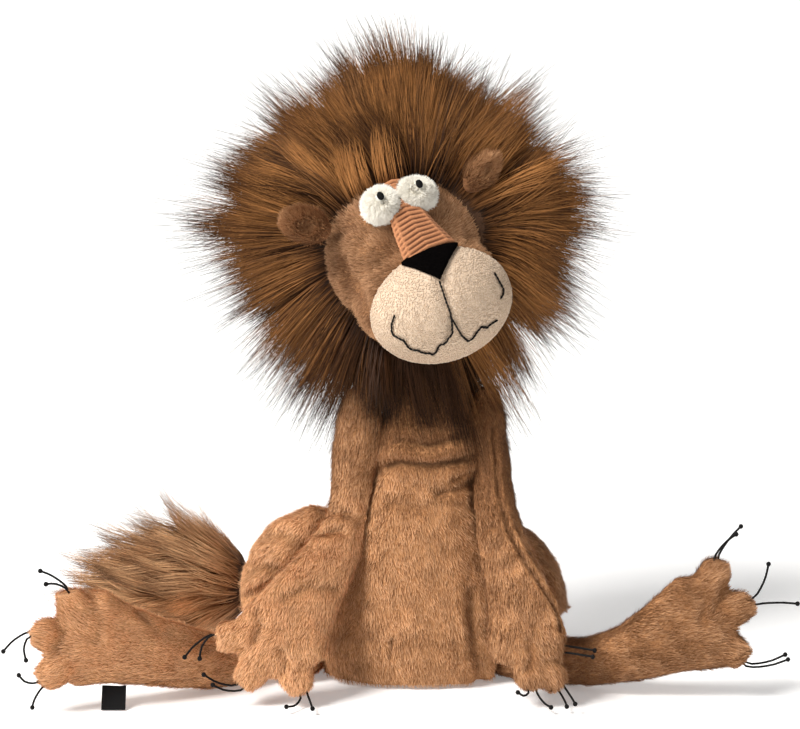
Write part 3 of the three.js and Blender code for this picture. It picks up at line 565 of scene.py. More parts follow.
# Its pile is painted darker towards the top, as shade under the mane.
plush_piece("torso", "body", (0.05, 0, -1), voxel=2.3 * mm, density=1.4e6, cover=torso_cover, shape=shoulders,
            creases=torso_creases, shade=painted_mane_shade(130, 26, 0.5, 0.8), seed=11)

# Seat.
# An oval panel of the same plush closes the base. Above it, inside, lies a linen bag of plastic pellets that
# weighs the seat down.
fitted("body", "seat_panel", "plush", skin_of("seat_panel_skin", "seat_panel", 1.6 * mm, 1, plush_cloth))

linen, wire, shader = new_finish("linen", 0.9)
warp, weft = [wire.texture("Wave", 300.0, {"bands_direction": way}, Distortion=1.5) for way in "XY"]
weave = wire.product(warp, weft)
LINEN_STOPS = [(0.0, (0.42, 0.33, 0.21)), (1.0, (0.66, 0.54, 0.38))]
coloured(wire, shader, ramp(wire, weave, LINEN_STOPS), weave, 0.2 * mm)
pellet_bag = skin_of("pellet_bag", "pellet_pouch", 2 * mm, 6, linen)
fitted("body", "pellet_pouch", "linen", pellet_bag)

# Haunches.
# Two stuffed lobes of the same plush, sewn to the sides of the belly.
haunch_right_creases = [
    ([(330, 510), (321, 532), (305, 553), (286, 573), (262, 591), (240, 605)], 5.0, 4.0),
    ([(327, 509), (300, 510), (284, 516)], 2.4, 3.0),
    ([(262, 536), (282, 532), (306, 546)], 4.0, 2.4),
    ([(250, 572), (266, 564), (292, 574)], 4.0, 2.6),
    ([(248, 596), (262, 590), (276, 596)], 3.4, 2.0),
]
haunch_left_creases = [
    ([(528, 515), (540, 540), (546, 575), (552, 605)], 2.6, 2.8),
    ([(548, 540), (556, 560), (558, 590)], 2.6, 1.8),
]
# Painted light and shade: the haunch on the lion's right, towards the window, is coloured lighter, and the one on
# its left darker.
plush_piece("haunch_right", "body", (-0.5, -0.1, -1), creases=haunch_right_creases, rumple=1.2 * mm, shade=0.92,
            seed=21)
plush_piece("haunch_left", "body", (0.5, -0.1, -1), creases=haunch_left_creases, shade=0.36, seed=22)

# Arms and legs.
# Long floppy tubes of the same plush, each cut from two halves whose seam runs down its edges and round the
# three toes of its paw. The pile lies towards the toes.
# Where each starts and the middle of its palm, in millimetres, and its folds, as for the torso.
# Their shade is painted light and shade: the limbs on the lion's right, towards the window, are coloured lighter,
# and those on its left darker.
LIMBS = {
    "arm_right": {"start": (-35.4, -2, 165), "palm": (-79.6, -76, 45.8), "seed": 31, "shade": 1.0, "creases": [
        ([(322, 532), (340, 528), (364, 534)], 3.0, 2.6), ([(328, 515), (350, 511), (376, 516)], 3.0, 2.2),
        ([(286, 596), (310, 586), (338, 588)], 4.0, 2.0),
        ([(377, 430), (378, 470), (379, 510), (366, 540), (354, 580)], 1.8, 1.8),
        ([(258, 610), (262, 625), (256, 640)], 2.6, 1.8), ([(282, 650), (286, 660), (284, 672)], 2.6, 1.8),
    ]},
    "arm_left": {"start": (45.5, -2, 165), "palm": (64.1, -76, 39.6), "seed": 32, "shade": 0.36, "creases": [
        ([(492, 425), (496, 460), (498, 490), (508, 530), (524, 560), (541, 585), (556, 612), (560, 630)], 1.3, 3.2),
        ([(474, 520), (484, 528), (494, 526)], 3.0, 1.8), ([(528, 640), (531, 655), (528, 668)], 2.6, 1.8),
    ], "voxel": 1.4},
    "leg_right": {"start": (-80, -16, 18), "palm": (-194, -90, 44), "seed": 33, "shade": 0.95, "creases": [
        ([(140, 612), (160, 632), (190, 642), (212, 648)], 3.0, 1.0), ([(96, 598), (104, 620), (98, 640)], 3.4, 1.0),
        ([(58, 622), (66, 634), (58, 648)], 2.6, 1.8), ([(130, 690), (160, 684), (200, 680)], 2.4, 1.8),
    ]},
    "leg_left": {"start": (68, -16, 18), "palm": (174, -67, 48), "seed": 34, "shade": 0.22, "creases": [
        ([(700, 668), (730, 668), (752, 664)], 2.4, 1.0), ([(690, 590), (704, 600), (700, 622)], 3.0, 1.0),
        ([(640, 615), (664, 606), (676, 592)], 3.0, 1.0), ([(724, 590), (716, 604), (726, 616)], 2.8, 1.0),
    ]},
}


PAW_REACH = 42 * mm
ARM_IN_MANE, ARM_STRETCH = 150 * mm, 1.3
ARM_INWARD_START, ARM_INWARD_ROOM = 130 * mm, 20 * mm


def limb_flow(start, palm):
    """The way that the pile lies: along the limb, and out towards the toes from the middle of the paw."""
    start, palm = np.array(start) * mm, np.array(palm) * mm

    def flow(co, up):
        along = unit(palm - start)
        beyond = unit(co - palm)
        near = np.clip(1 - np.linalg.norm(co - palm, axis=1) / PAW_REACH, 0, 1)[:, None] ** 0.5
        ahead = np.clip(np.sum(beyond * along, 1), 0, 1)[:, None]
        return unit(along + 1.6 * beyond * near * ahead)

    return flow


def under_mane(co, up):
    """The arms run up under the mane and lean in to the chest. Everything lower stays as it is."""
    to_middle = -np.sign(co[:, 0])
    facing = np.clip(to_middle * up[:, 0], 0, 1)
    high = np.clip((co[:, 2] - ARM_INWARD_START) / ARM_INWARD_ROOM, 0, 1)
    inward = to_middle * high * (1.2 + 3.6 * facing) * mm
    upward = np.clip(co[:, 2] - ARM_IN_MANE, 0, 1) * ARM_STRETCH
    return co + np.outer(upward, (0, 0, 1)) + np.outer(inward, (1, 0, 0))


# Each is also painted darker towards its top, as shade under the mane.
for limb, facts in LIMBS.items():
    plush_piece(limb, limb, limb_flow(facts["start"], facts["palm"]), passes=12, creases=facts["creases"],
                shape=under_mane, shade=painted_mane_shade(92, 40, facts["shade"], 0.75), rumple=0.4 * mm,
                seed=facts["seed"], voxel=facts.get("voxel", 1.9) * mm)

# Claws.
# Each toe has a piece of black waxed cord threaded through it, with a knot at each of its two ends.
CORD_STOPS = [(0.3, (0.003, 0.003, 0.003)), (0.8, (0.01, 0.009, 0.009))]


def grained_finish(name, kind, scale, stops, roughness, specular, detail=2.0, height=0.0, strength=1.0):
    """A finish whose colour, and where a height is given its bump, follow a fine grain."""
    material, wire, shader = new_finish(name, roughness, specular=specular)
    grain = wire.texture(kind, scale, Detail=detail)
    if height:
        coloured(wire, shader, ramp(wire, grain, stops), grain, height, strength)
    else:
        wire.join(shader.inputs["Base Color"], ramp(wire, grain, stops))
    return material


waxed_cord = grained_finish("waxed_cord", "Noise", 2500.0, CORD_STOPS, roughness=0.6, specular=0.1, height=0.2 * mm)
for limb in LIMBS:
    for toe in (1, 2, 3):
        claw = skin_of(f"{limb}_cord_{toe}", f"{limb}_claw_{toe}", 0.32 * mm, 3, waxed_cord)
        fitted(limb, f"{limb}_claw_{toe}", "waxed_cord", claw)

# Side label.
# A folded black ribbon, plain, caught in the lower seam of the right leg.
ribbon = grained_finish("ribbon", "Wave", 900.0, [(0.0, (0.003, 0.003, 0.003)), (1.0, (0.009, 0.009, 0.01))],
                        roughness=0.6, specular=0.12, height=0.1 * mm)
fitted("leg_right", "side_label", "ribbon", skin_of("side_ribbon", "side_label", 0.35 * mm, 1, ribbon))

# Head.
# A stuffed ball of the same plush cloth with a snout, its pile coloured darker than the body's. Its pile lies
# outwards from the nose.
HEAD_TURN = Matrix.Rotation(math.radians(17), 3, "Z") @ Matrix.Rotation(math.radians(-15), 3, "Y") \
    @ Matrix.Rotation(math.radians(12), 3, "X")
HEAD_PLACE = Vector((-6, 4, 262)) * mm
face_way = np.array(HEAD_TURN @ Vector((0, -1, 0)))
nose_low, nose_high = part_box("nose")
nose_middle = np.array((nose_low + nose_high) / 2)


def clear_of(co, nodes, room):
    """1 where a point is further than the room from the solids, fading to 0 at them."""
    nearest = np.full(len(co), 1.0)
    for node in nodes:
        tree = tree_of(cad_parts[node].data)
        gaps = [tree.find_nearest(point, 2 * room)[3] for point in co]
        nearest = np.minimum(nearest, [1.0 if gap is None else gap for gap in gaps])
    return np.clip(2 * nearest / room - 1, 0, 1)


def face_cover(co, up):
    """Pile grows on the front of the head, except close to the pieces of the face."""
    pieces_of_face = ("muzzle", "eye_right", "eye_left", "nose_bridge", "nose")
    return (up @ face_way > -0.35) * clear_of(co, pieces_of_face, 3.2 * mm)


head_creases = [
    ([(345, 262), (352, 282), (364, 300), (372, 318)], 6.0, 2.2),
    ([(338, 235), (352, 228), (366, 236)], 5.0, 1.6),
]
FACE_STOPS = [(0.0, (0.17, 0.074, 0.028)), (0.45, (0.32, 0.152, 0.066)), (1.0, (0.45, 0.25, 0.13))]
face_pile = pile_finish("face_pile", FACE_STOPS, pale=(1.42, 1.45, 1.5), dark=(0.52, 0.46, 0.42))
head_skin = plush_piece("head", "head", lambda co, up: co - nose_middle, passes=12, density=2.9e6, cover=face_cover,
                        reach=1.1, shade=0.42, creases=head_creases, finish=face_pile, seed=41)

# Muzzle.
# A stuffed pad of cream terry, sewn flat to the snout. It has a crease down the middle below the nose, and its
# mouth is sewn on in black thread.
TERRY = (0.67, 0.535, 0.41)
TERRY_LOW = (0.5, 0.36, 0.245)
MOUTH = {
    "middle": [(440, 283), (443, 292), (447, 304), (450.5, 313), (452, 324), (452.4, 334), (447, 340), (446, 343.5),
               (441, 344.5), (438, 347.5), (436.5, 352), (433, 354.5), (428, 353), (424, 353.5), (418, 350.5),
               (412, 350), (408, 347), (404, 341), (398, 338), (392, 334), (391.5, 325), (394, 317)],
    "right": [(451, 317), (456, 326), (462, 336), (468, 341), (473, 338.5), (477, 332), (481.5, 327), (487, 327.5),
              (491, 324), (496, 321)],
    "cheek": [(495.5, 274.5), (499, 281), (503, 288), (504, 292), (501.5, 297)],
}
CREASE_DEPTH, CREASE_WIDTH = 1.8 * mm, 5 * mm
THREAD_SINK, THREAD_REACH = 0.7 * mm, 1.6 * mm
TERRY_GROUND = 0.5 * mm
terry_ground = cloth_finish("terry_ground", TERRY, TERRY_LOW, grain=0.0012)
muzzle_skin = skin_of("muzzle_skin", "muzzle", 1.6 * mm, 8, terry_ground)
muzzle_tree = tree_of(muzzle_skin.data)


def on_muzzle(x, y):
    """Where the muzzle shows at a pixel of the picture."""
    return muzzle_tree.ray_cast(CAMERA_PLACE, into_view(x, y))[0]


mouth_lines = {name: [on_muzzle(*pixel) for pixel in pixels] for name, pixels in MOUTH.items()}
thread_points = np.array([point for line in mouth_lines.values() for a, b in zip(line, line[1:])
                          for point in (a.lerp(b, t) for t in (0.0, 0.25, 0.5, 0.75)) if a and b])
crease_line = np.array([mouth_lines["middle"][0].lerp(mouth_lines["middle"][5], t) for t in np.linspace(0, 1, 12)])
co, up = places(muzzle_skin.data), normals(muzzle_skin.data)
to_crease = np.linalg.norm(co[:, None] - crease_line[None], axis=2).min(1)
to_thread = np.linalg.norm(co[:, None] - thread_points[None], axis=2).min(1)
sunk = CREASE_DEPTH * np.exp(-((to_crease / CREASE_WIDTH) ** 2))
sunk += THREAD_SINK * np.exp(-((to_thread / THREAD_REACH) ** 2))
put(muzzle_skin.data, co - up * (sunk + TERRY_GROUND)[:, None])

terry = pile_finish("terry", [(0.0, TERRY_LOW), (1.0, TERRY)], pale=(1.05, 1.05, 1.05), dark=(0.95, 0.94, 0.93),
                    roughness=0.9)
co, up = places(muzzle_skin.data), normals(muzzle_skin.data)
to_thread = np.linalg.norm(co[:, None] - thread_points[None], axis=2).min(1)
groomed(muzzle_skin.data, (0, 0, -1),
        cover=(to_thread > 0.9 * mm) * (up @ face_way > -0.3) * clear_of(co, ("nose",), 1.2 * mm))


def loops_tree():
    """Terry: short loops of yarn that stand close together, each turned its own way."""
    tree, wire, size, result = tree_with("terry_loops", "Cloth", Spacing=0.001, Loop=0.0009, Yarn=0.00022, Seed=1)
    most = wire.sums("DIVIDE", 1.2, wire.product(size["Spacing"], size["Spacing"]))
    scattered = wire("GeometryNodeDistributePointsOnFaces", distribute_method="POISSON",
                     inputs={"Mesh": size["Cloth"], "Distance Min": size["Spacing"], "Density Max": most,
                             "Density Factor": wire.named("cover"), "Seed": size["Seed"]}).node.outputs
    luck = wire("FunctionNodeRandomValue", data_type="FLOAT_VECTOR",
                inputs={"Min": (-0.5, -0.5, 0), "Max": (0.5, 0.5, 6.28), "Seed": size["Seed"]})
    points = wire.stored(scattered["Points"], "luck", luck, "FLOAT_VECTOR")
    arc = wire("GeometryNodeCurveArc", inputs={"Resolution": 4, "Radius": size["Loop"], "Start Angle": -0.5,
                                               "Sweep Angle": math.pi + 1.0})
    section = wire("GeometryNodeCurvePrimitiveCircle", inputs={"Resolution": 3, "Radius": size["Yarn"]})
    loop = wire("GeometryNodeCurveToMesh", inputs={"Curve": arc, "Profile Curve": section})
    stood = wire("GeometryNodeTransform", inputs={"Geometry": loop, "Rotation": (math.pi / 2, 0, 0)})
    height = wire.axes(wire("GeometryNodeInputPosition"))["Z"]
    stood = wire.stored(stood, "along", wire.sums("DIVIDE", height, size["Loop"]))
    turned = wire("FunctionNodeRotateEuler", inputs={"Rotation": scattered["Rotation"], "Rotate By": luck},
                  rotation_type="EULER", space="LOCAL")
    loops = wire.placed(points, stood, Rotation=turned)
    tone = wire.sums("ADD", wire.axes(wire.named("luck", "FLOAT_VECTOR"))["X"], 0.5)
    tone = wire.sums("ADD", tone, wire.axes(wire("GeometryNodeInputPosition"))["X"])
    pair = wire("ShaderNodeCombineXYZ", inputs={"X": tone, "Y": wire.named("along")})
    loops = wire.stored(loops, "OFBake", pair, "FLOAT2", "CORNER")
    wire.ends(loops, size["Finish"], result)
    return tree


muzzle_loops = grown_on("muzzle_loops", muzzle_skin.data, loops_tree(), Spacing=1.0 * mm, Loop=0.55 * mm,
                        Yarn=0.3 * mm, Seed=5, Finish=terry)
fitted("head", "muzzle", "terry", muzzle_skin, muzzle_loops)


def stitches_tree():
    """A row of stitches along a line: short rounded lengths of thread, end to end."""
    tree, wire, size, result = tree_with("stitches", "Line", Stitch=0.004, Thread=0.0006)
    curve = wire("GeometryNodeMeshToCurve", inputs={"Mesh": size["Line"]})
    points = wire("GeometryNodeCurveToPoints", mode="LENGTH",
                  inputs={"Curve": curve, "Length": size["Stitch"]}).node.outputs
    bead = wire("GeometryNodeMeshUVSphere", inputs={"Segments": 8, "Rings": 6, "Radius": 1.0})
    half_length = wire.product(size["Stitch"], 0.62)
    span = wire("ShaderNodeCombineXYZ", inputs={"X": size["Thread"], "Y": size["Thread"], "Z": half_length})
    wire.ends(wire.placed(points["Points"], bead, Rotation=points["Rotation"], Scale=span), size["Finish"], result)
    return tree


THREAD_STOPS = [(0.3, (0.004, 0.0035, 0.003)), (0.8, (0.014, 0.012, 0.011))]
black_thread = grained_finish("black_thread", "Noise", 3000.0, THREAD_STOPS, roughness=0.7, specular=0.1)
lines = bmesh.new()
for line in mouth_lines.values():
    lifted = [muzzle_tree.find_nearest(point) for point in line]
    row = [lines.verts.new(point + normal * 0.1 * mm) for point, normal, _, _ in lifted]
    for a, b in zip(row, row[1:]):
        lines.edges.new((a, b))
mouth = grown_on("mouth_stitches", lines, stitches_tree(), Stitch=2.4 * mm, Thread=0.68 * mm, Finish=black_thread)
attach(mouth, "head")

# Nose.
# A padded triangle of black velvet over the top of the muzzle.
VELVET_STOPS = [(0.3, (0.0008, 0.0006, 0.0006)), (0.8, (0.0026, 0.0021, 0.0021))]
velvet = grained_finish("velvet", "Noise", 900.0, VELVET_STOPS, roughness=1.0, specular=0.01, detail=3.0,
                        height=0.3 * mm, strength=0.5)
fitted("head", "nose", "velvet", skin_of("nose_velvet", "nose", 0.45 * mm, 8, velvet))

# Nose bridge.
# A strip of rust-coloured corduroy whose ribs run across it, sewn in between the eyes and the nose.
corduroy, wire, shader = new_finish("corduroy", 0.9, sheen=0.1, sheen_tint=(0.9, 0.6, 0.4))
nap = wire.texture("Noise", 1400.0, Detail=3.0)
rib = wire("ShaderNodeAttribute", out="Fac", attribute_name="rib")
fuzz = ramp(wire, nap, [(0.25, (0.33, 0.125, 0.052)), (0.75, (0.5, 0.225, 0.105))])
# Painted shade: the grooves between the ribs are coloured darker.
depth = ramp(wire, rib, [(0.2, (0.22, 0.16, 0.12)), (0.62, (1, 1, 1))])
coloured(wire, shader, blended(wire, 1.0, fuzz, depth, "MULTIPLY"), nap, 0.25 * mm, 0.7)
RIB_HEIGHT = 0.7 * mm
bridge_skin = skin_of("bridge_corduroy", "nose_bridge", 0.45 * mm, 2, corduroy)
level = bridge_skin.data.copy()
eased(level, 18, back=0.5)
rib_height = np.sum((places(bridge_skin.data) - places(level)) * normals(bridge_skin.data), 1)
value_on(bridge_skin.data, "rib", np.clip(0.5 + rib_height / RIB_HEIGHT, 0, 1))
fitted("head", "nose_bridge", "corduroy", bridge_skin)

# Eyes.
# Two balls of short white plush that press together on the forehead, each with a small black pupil.
white_cloth = cloth_finish("white_cloth", (0.84, 0.82, 0.76), (0.76, 0.73, 0.65), grain=0.002)
WHITE_STOPS = [(0.0, (0.66, 0.6, 0.47)), (0.4, (0.8, 0.76, 0.67)), (1.0, (0.86, 0.83, 0.76))]
white_pile = pile_finish("white_pile", WHITE_STOPS, pale=(1.04, 1.04, 1.04), dark=(0.84, 0.82, 0.78))
PUPIL_STOPS = [(0.3, (0.003, 0.003, 0.003)), (0.8, (0.01, 0.01, 0.01))]
pupil_finish = grained_finish("pupil_black", "Noise", 2000.0, PUPIL_STOPS, roughness=0.8, specular=0.08)
PUPIL_FULLER, PUPIL_PROUD = 1.16, 0.3 * mm
PUPIL_DISH, DISH_RIM, DISH_FILL = 4.4 * mm, 6.5 * mm, 0.3 * mm
EYE_LEFT_HEIGHT = 0.9
EYE_SIZE = {"right": (0.97, 1, 0.92), "left": (1.06, 1, 0.97)}
EYE_SHIFT = {"right": (1.0 * mm, 0, -1.3 * mm), "left": (-1.6 * mm, 0, -0.8 * mm)}
for seed, side in enumerate(("right", "left")):
    pupil = skin_of(f"pupil_bead_{side}", f"pupil_{side}", 0.25 * mm, 6, pupil_finish)
    co = places(pupil.data)
    put(pupil.data, co.mean(0) + (co - co.mean(0)) * PUPIL_FULLER + face_way * PUPIL_PROUD)
    eye = skin_of(f"eye_skin_{side}", f"eye_{side}", 0.8 * mm, 8, white_cloth, 1.5 * mm)
    if side == "left":
        co = places(eye.data)
        foot = co[:, 2].min()
        put(eye.data, np.column_stack((co[:, 0], co[:, 1], foot + (co[:, 2] - foot) * EYE_LEFT_HEIGHT)))
    middle = np.array((sum(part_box(f"pupil_{side}"), Vector())) / 2)
    co = places(eye.data)
    core = (co.min(0) + co.max(0)) / 2
    co = core + (co - core) * EYE_SIZE[side] + EYE_SHIFT[side]
    away = np.linalg.norm(co - middle, axis=1)
    beside = (away > PUPIL_DISH) & (away < DISH_RIM)
    level = np.median(np.linalg.norm(co[beside] - core, axis=1))
    filled = core + unit(co - core) * (level + DISH_FILL)
    put(eye.data, np.where((away < PUPIL_DISH)[:, None], filled, co))
    co = places(eye.data)
    off_pupil = np.clip((np.linalg.norm(co - middle, axis=1) / (2 * mm)) - 1.35, 0, 1)
    groomed(eye.data, co - middle, cover=off_pupil * clear_of(co, ("nose_bridge", "head"), 0.8 * mm))
    pile = grown_on(f"eye_pile_{side}", eye.data, PILE, Density=9e6, Length=2.6 * mm, Width=0.4 * mm, Lean=0.6,
                    Scatter=0.4, Drift=1.0, Drift_size=0.006, Patch_tone=0.3, Seed=51 + seed, Finish=white_pile)
    fitted("head", f"pupil_{side}", "pupil", pupil)
    fitted("head", f"eye_{side}", "white_plush", eye, pile)

# Ears.
# Two small round lobes of darker plush, dished in front, that stand half hidden in the mane.
EAR_RIGHT_OUT = 3.5 * mm
EAR_LEFT_SIZE, EAR_LEFT_SHIFT = 0.86, np.array((-5, 0, 4)) * mm
EAR_STOPS = [(0.0, (0.13, 0.054, 0.02)), (0.5, (0.33, 0.15, 0.062)), (1.0, (0.47, 0.25, 0.12))]
ear_pile_finish = pile_finish("ear_pile", EAR_STOPS, pale=(1.25, 1.25, 1.25), dark=(0.6, 0.56, 0.52))
ear_cloth = cloth_finish("ear_cloth", (0.24, 0.105, 0.043), (0.1, 0.04, 0.015))
for seed, side in enumerate(("right", "left")):
    ear = skin_of(f"ear_skin_{side}", f"ear_{side}", 0.9 * mm, 8, ear_cloth, 0.8 * mm)
    outward = (-0.8, 0, 0.5) if side == "right" else (0.7, 0, 0.7)
    co = places(ear.data)
    if side == "right":
        put(ear.data, co + unit(outward) * EAR_RIGHT_OUT)
    else:
        put(ear.data, co.mean(0) + (co - co.mean(0)) * EAR_LEFT_SIZE + EAR_LEFT_SHIFT)
    from_head = np.linalg.norm(places(ear.data) - np.array(HEAD_PLACE), axis=1)
    off_head = np.clip((from_head - from_head.min()) / (9 * mm) - 0.3, 0, 1)
    groomed(ear.data, unit(outward), cover=off_head, flat=False)
    pile = grown_on(f"ear_pile_{side}", ear.data, PILE, Density=5e6, Length=4.4 * mm, Width=0.42 * mm, Lean=0.5,
                    Scatter=0.4, Drift=1.0, Drift_size=0.008, Seed=61 + seed, Finish=ear_pile_finish)
    fitted("head", f"ear_{side}", "plush", ear, pile)

# Mane.
# A collar and cap of long pile that is sewn round the face. The strands spray out from the face in pointed
# locks, droop at the sides and under the chin, and end in near-black tips.
MANE_ROOT = (0.025, 0.01, 0.003)
MANE_BROWN = (0.12, 0.047, 0.014)
MANE_GOLD = (0.27, 0.114, 0.035)
MANE_TIP = (0.008, 0.005, 0.004)
# Its cloth, in millimetres from the middle of the head: the hole for the face, the reach to the sides and down,
# how much the hair adds to that, and the front and back.
MANE_RIM = 42
MANE_RADIUS = 116
MANE_LEVEL = 87.5
MANE_INSET = 45
MANE_FRONT = -16
MANE_BACK = 66
MANE_COLUMNS = 96
# The reach at even steps round the face, from its left over the top, as shares of the radius.
mane_outline_shares = [0.89, 1.0, 0.92, 1.12, 0.95, 1.05, 0.9, 0.75, 0.71, 0.87, 0.74, 0.73]
# Each row: share of the way from the rim out to the edge, and of the way from front to back.
mane_rows = [(0.0, 0.06), (0.18, 0.0), (0.4, 0.0), (0.6, 0.03), (0.78, 0.1), (0.9, 0.19), (0.97, 0.31), (1.0, 0.46),
             (1.0, 0.62), (0.94, 0.78), (0.8, 0.9), (0.5, 0.98), (0.2, 1.0)]
# Where its strands are trimmed: axis, the place from which they are drawn in, and the most that they pass it.
MANE_TRIMS = ((1, 80 * mm, 15 * mm), (2, 402 * mm, 14 * mm))


def mane_point(angle, out, back):
    """A point of the cloth that carries the mane, from the middle of the head."""
    down = max(-math.sin(angle), 0)
    shares = mane_outline_shares + mane_outline_shares[:1]
    full = MANE_RADIUS * np.interp(angle / (2 * math.pi) * 12, range(13), shares)
    inset = MANE_INSET * (1 - 0.5 * down ** 4) * (1 - 0.62 * min(max((back - 0.25) / 0.35, 0), 1))
    reach = (full ** -8 + (down / MANE_LEVEL) ** 8) ** (-1 / 8) - inset
    radius = MANE_RIM + (reach - MANE_RIM) * out
    front = MANE_FRONT - 12 * down ** 3 * (1 - back)
    return Vector((radius * math.cos(angle), front + (MANE_BACK - front) * back, radius * math.sin(angle)))


cap = bmesh.new()
rings = [[cap.verts.new(HEAD_PLACE + mane_point(2 * math.pi * k / MANE_COLUMNS, out, back) * mm)
          for k in range(MANE_COLUMNS)] for out, back in mane_rows]
front_middle = cap.verts.new(HEAD_PLACE + Vector((0, 6, 0)) * mm)
back_middle = cap.verts.new(HEAD_PLACE + Vector((0, MANE_BACK + 1, 0)) * mm)
for k in range(MANE_COLUMNS):
    following = (k + 1) % MANE_COLUMNS
    cap.faces.new((front_middle, rings[0][following], rings[0][k]))
    cap.faces.new((back_middle, rings[-1][k], rings[-1][following]))
    for ring, next_ring in zip(rings, rings[1:]):
        cap.faces.new((ring[k], ring[following], next_ring[following], next_ring[k]))
bmesh.ops.recalc_face_normals(cap, faces=cap.faces)
mane_cap = new_object("mane_cap", cap)
finer = mane_cap.modifiers.new("finer", "SUBSURF")
finer.levels = finer.render_levels = 1
settled(mane_cap)
mane_cloth = cloth_finish("mane_cloth", (0.09, 0.04, 0.016), (0.03, 0.013, 0.006), grain=0.01)
mane_cap.data.materials.append(mane_cloth)
mane_cap.data.shade_smooth()

co, up = places(mane_cap.data) - np.array(HEAD_PLACE), normals(mane_cap.data)
around = np.arctan2(co[:, 2], co[:, 0])
rising = np.sin(around)
radius = np.hypot(co[:, 0], co[:, 2])
below = np.clip(-rising, 0, 1)
spray = unit(co - np.array((0, -0.030, 0)))
hang = 0.08 + 0.42 * np.clip(0.7 - rising, 0, 1.5) / 1.5
spray = unit(spray + np.outer(hang, (0, 0, -1)) + np.outer(below ** 2, (0, -0.2, 0)))
# Behind the face the pile lies flat, combed back and down.
at_back = np.clip((co[:, 1] - 0.006) / 0.02, 0, 1)[:, None]
hanging = unit(co * (1, 0, 1)) * 0.5 + np.array((0, 0.7, -0.5))
hanging = unit(hanging - up * np.sum(hanging * up, 1, keepdims=True) + up * 0.4)
spray = unit(spray * (1 - at_back) + hanging * at_back)
front_side = co[:, 1] < 0.008
cover = (radius > 0.041) | (co[:, 1] > 0.03)
reach = (1 - 0.1 * np.clip(rising, 0, 1) ** 4 - 0.6 * at_back[:, 0]) * (1 + 0.04 * below - 0.24 * below ** 12)
# Painted light and shade in the tone of the hair: lighter towards the top and darker on the lion's right, its lit
# side; darker under the chin, partly for the darker hair there and partly as painted shade.
shade = 0.4 + 0.14 * np.clip(rising, 0, 1) - 1.2 * below ** 6 - 0.1 * np.clip(-co[:, 0] / 0.09, 0, 1)
pieces_of_mane = {
    "front_right": front_side & (co[:, 0] < 0),
    "front_left": front_side & (co[:, 0] >= 0),
    "right": ~front_side & (co[:, 0] < 0),
    "left": ~front_side & (co[:, 0] >= 0),
}
mane_finish = pile_finish("mane_pile", [(0.0, MANE_ROOT), (0.14, MANE_BROWN), (0.36, MANE_GOLD), (0.78, MANE_GOLD),
                                        (0.9, MANE_BROWN), (1.0, MANE_TIP)],
                          pale=(1.85, 1.9, 1.98), dark=(0.12, 0.1, 0.09), roughness=0.55, specular=0.1)
guard_finish = pile_finish("guard_hair", [(0.0, MANE_ROOT), (0.35, MANE_BROWN), (0.6, MANE_GOLD), (0.74, MANE_BROWN),
                                          (0.84, MANE_TIP), (1.0, MANE_TIP)],
                           pale=(1.8, 1.8, 1.8), dark=(0.2, 0.2, 0.2), roughness=0.6, specular=0.06)
LONG_PILE = {"Segments": 5, "Lean": 0.87, "Curve": 0.06, "Droop": 0.16, "Drift": 1.0, "Drift_size": 0.036,
             "Lock_pull": 0.52, "Lock_size": 0.014, "Lock_stray": 0.45, "Lock_tone": 0.7, "Uneven": 0.2,
             "Taper": 0.88, "Roll": 0.5}


def mane_piece(obj):
    """A piece of the mane, its longest strands trimmed at the crown and at the back."""
    co = places(obj.data)
    for axis, start, room in MANE_TRIMS:
        beyond = np.maximum(co[:, axis] - start, 0)
        co[:, axis] = np.where(beyond > 0, start + room * (1 - np.exp(-beyond / room)), co[:, axis])
    put(obj.data, co)
    fitted("head", "mane", "long_pile", obj)


for seed, (part, where) in enumerate(pieces_of_mane.items()):
    density, segments = (1.3e6, 5) if part.startswith("front") else (8.5e5, 3)
    groomed(mane_cap.data, spray, cover * where, reach, shade, flat=False)
    mane_piece(grown_on(f"mane_hair_{part}", mane_cap.data, PILE, Density=density, Length=54 * mm, Width=0.54 * mm,
                        Scatter=0.11, Seed=71 + seed, Finish=mane_finish, **dict(LONG_PILE, Segments=segments)))
groomed(mane_cap.data, spray, cover, reach, shade, flat=False)
guard = dict(LONG_PILE, Segments=3, Lock_pull=0.35, Lock_tone=0.2, Lock_stray=0.35)
mane_piece(grown_on("mane_guard_hair", mane_cap.data, PILE, Density=1.7e5, Length=78 * mm, Width=0.46 * mm,
                    Scatter=0.14, Seed=77, Finish=guard_finish, **guard))
mane_piece(mane_cap)

# The hairline: the long pile starts on the forehead, close above the eyes.
BROW_MIDDLE, BROW_REACH = np.array((3, -4)) * mm, np.array((51, 49)) * mm
brow = head_skin.data.copy()
co = places(brow) - np.array(HEAD_PLACE)
over_brow = np.sum(((co[:, [0, 2]] - BROW_MIDDLE) / BROW_REACH) ** 2, 1)
hairline = np.clip((over_brow - 1) * 8, 0, 1) * (co[:, 2] > 8 * mm) * (co[:, 1] < 26 * mm)
hairline *= clear_of(places(brow), ("eye_right", "eye_left", "ear_right", "ear_left"), 1.6 * mm)
swept = unit(unit(co * (1, 0, 1)) + np.array((0, 0.25, 0.15)))
groomed(brow, swept, hairline, reach=0.85, shade=0.42, flat=False)
mane_piece(grown_on("mane_hair_brow", brow, PILE, Density=1.4e6, Length=50 * mm, Width=0.52 * mm, Scatter=0.1,
                    Seed=78, Finish=mane_finish, **dict(LONG_PILE, Lean=0.8)))

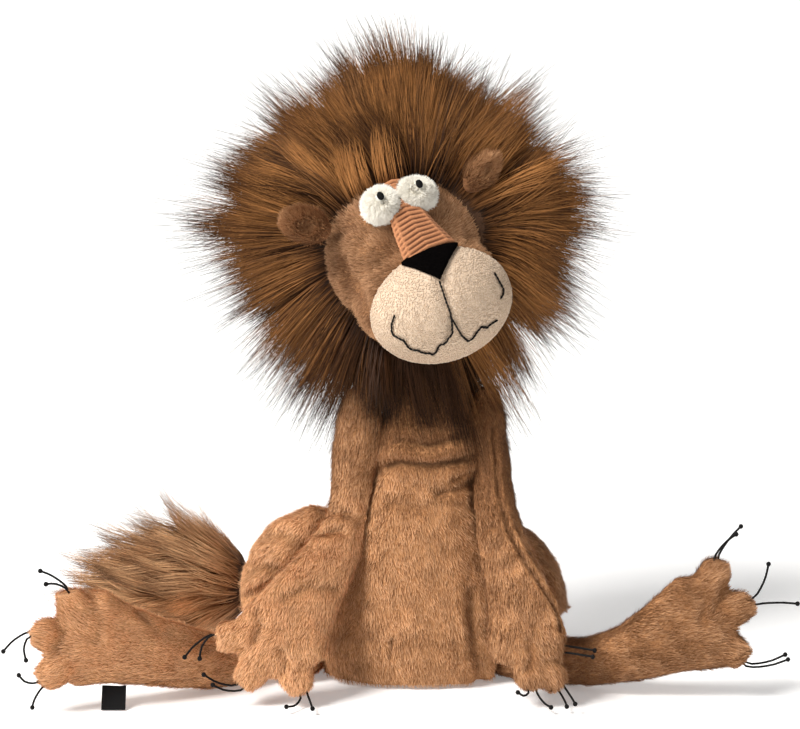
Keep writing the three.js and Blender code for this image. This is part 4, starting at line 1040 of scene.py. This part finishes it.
# Tail.
# A thin tube of the same plush that leaves the back at the seat, and a tuft of long pile at its end.
TUFT_SHARES = np.array((0.84, 0.72, 0.8))
TUFT_FLOOR = 0.4 * mm
TUFT_BACK = 92 * mm
plush_piece("tail", "tail", (-1, 0, 0.1), density=1.5e6, seed=81)
tuft_skin = skin_of("tuft_skin", "tail_tuft", 2.5 * mm, 12, mane_cloth)
tuft_low, tuft_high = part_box("tail_tuft")
tuft_middle = np.array((tuft_low + tuft_high) / 2)
tuft_root = np.array((tuft_high.x - 2 * mm, tuft_middle[1], tuft_middle[2] - 4 * mm))
co = places(tuft_skin.data)
put(tuft_skin.data, tuft_root + (co - tuft_root) * TUFT_SHARES)
co = places(tuft_skin.data)
stream = unit(unit(co - tuft_root) + np.array((-1.2, 0, 0.15)))
stream[:, 2] = np.maximum(stream[:, 2], 0.1 - np.clip(co[:, 2] / (60 * mm), 0, 1))
groomed(tuft_skin.data, stream, cover=co[:, 2] > 6 * mm, flat=False)
TUFT_STOPS = [(0.0, (0.15, 0.068, 0.026)), (0.3, (0.45, 0.225, 0.098)), (0.7, (0.72, 0.425, 0.215)),
              (0.88, (0.31, 0.155, 0.072)), (1.0, (0.02, 0.012, 0.009))]
tuft_finish = pile_finish("tuft_pile", TUFT_STOPS, pale=(1.45, 1.5, 1.55), dark=(0.3, 0.27, 0.25), roughness=0.6)
tuft_hair = grown_on("tuft_hair", tuft_skin.data, PILE, Density=9e5, Length=34 * mm, Width=0.55 * mm, Segments=4,
                     Lean=0.85, Scatter=0.14, Curve=0.05, Drift=0.6, Drift_size=0.025, Lock_pull=0.7,
                     Lock_size=0.011, Lock_stray=0.7, Lock_tone=0.5, Uneven=0.3, Taper=0.9, Roll=0.5, Seed=91,
                     Finish=tuft_finish)
co = places(tuft_hair.data)
co[:, 2] = np.maximum(co[:, 2], TUFT_FLOOR)
co[:, 1] = np.minimum(co[:, 1], TUFT_BACK + 0.2 * (co[:, 1] - TUFT_BACK))
put(tuft_hair.data, co)
fitted("tail", "tail_tuft", "tuft_pile", tuft_skin, tuft_hair)
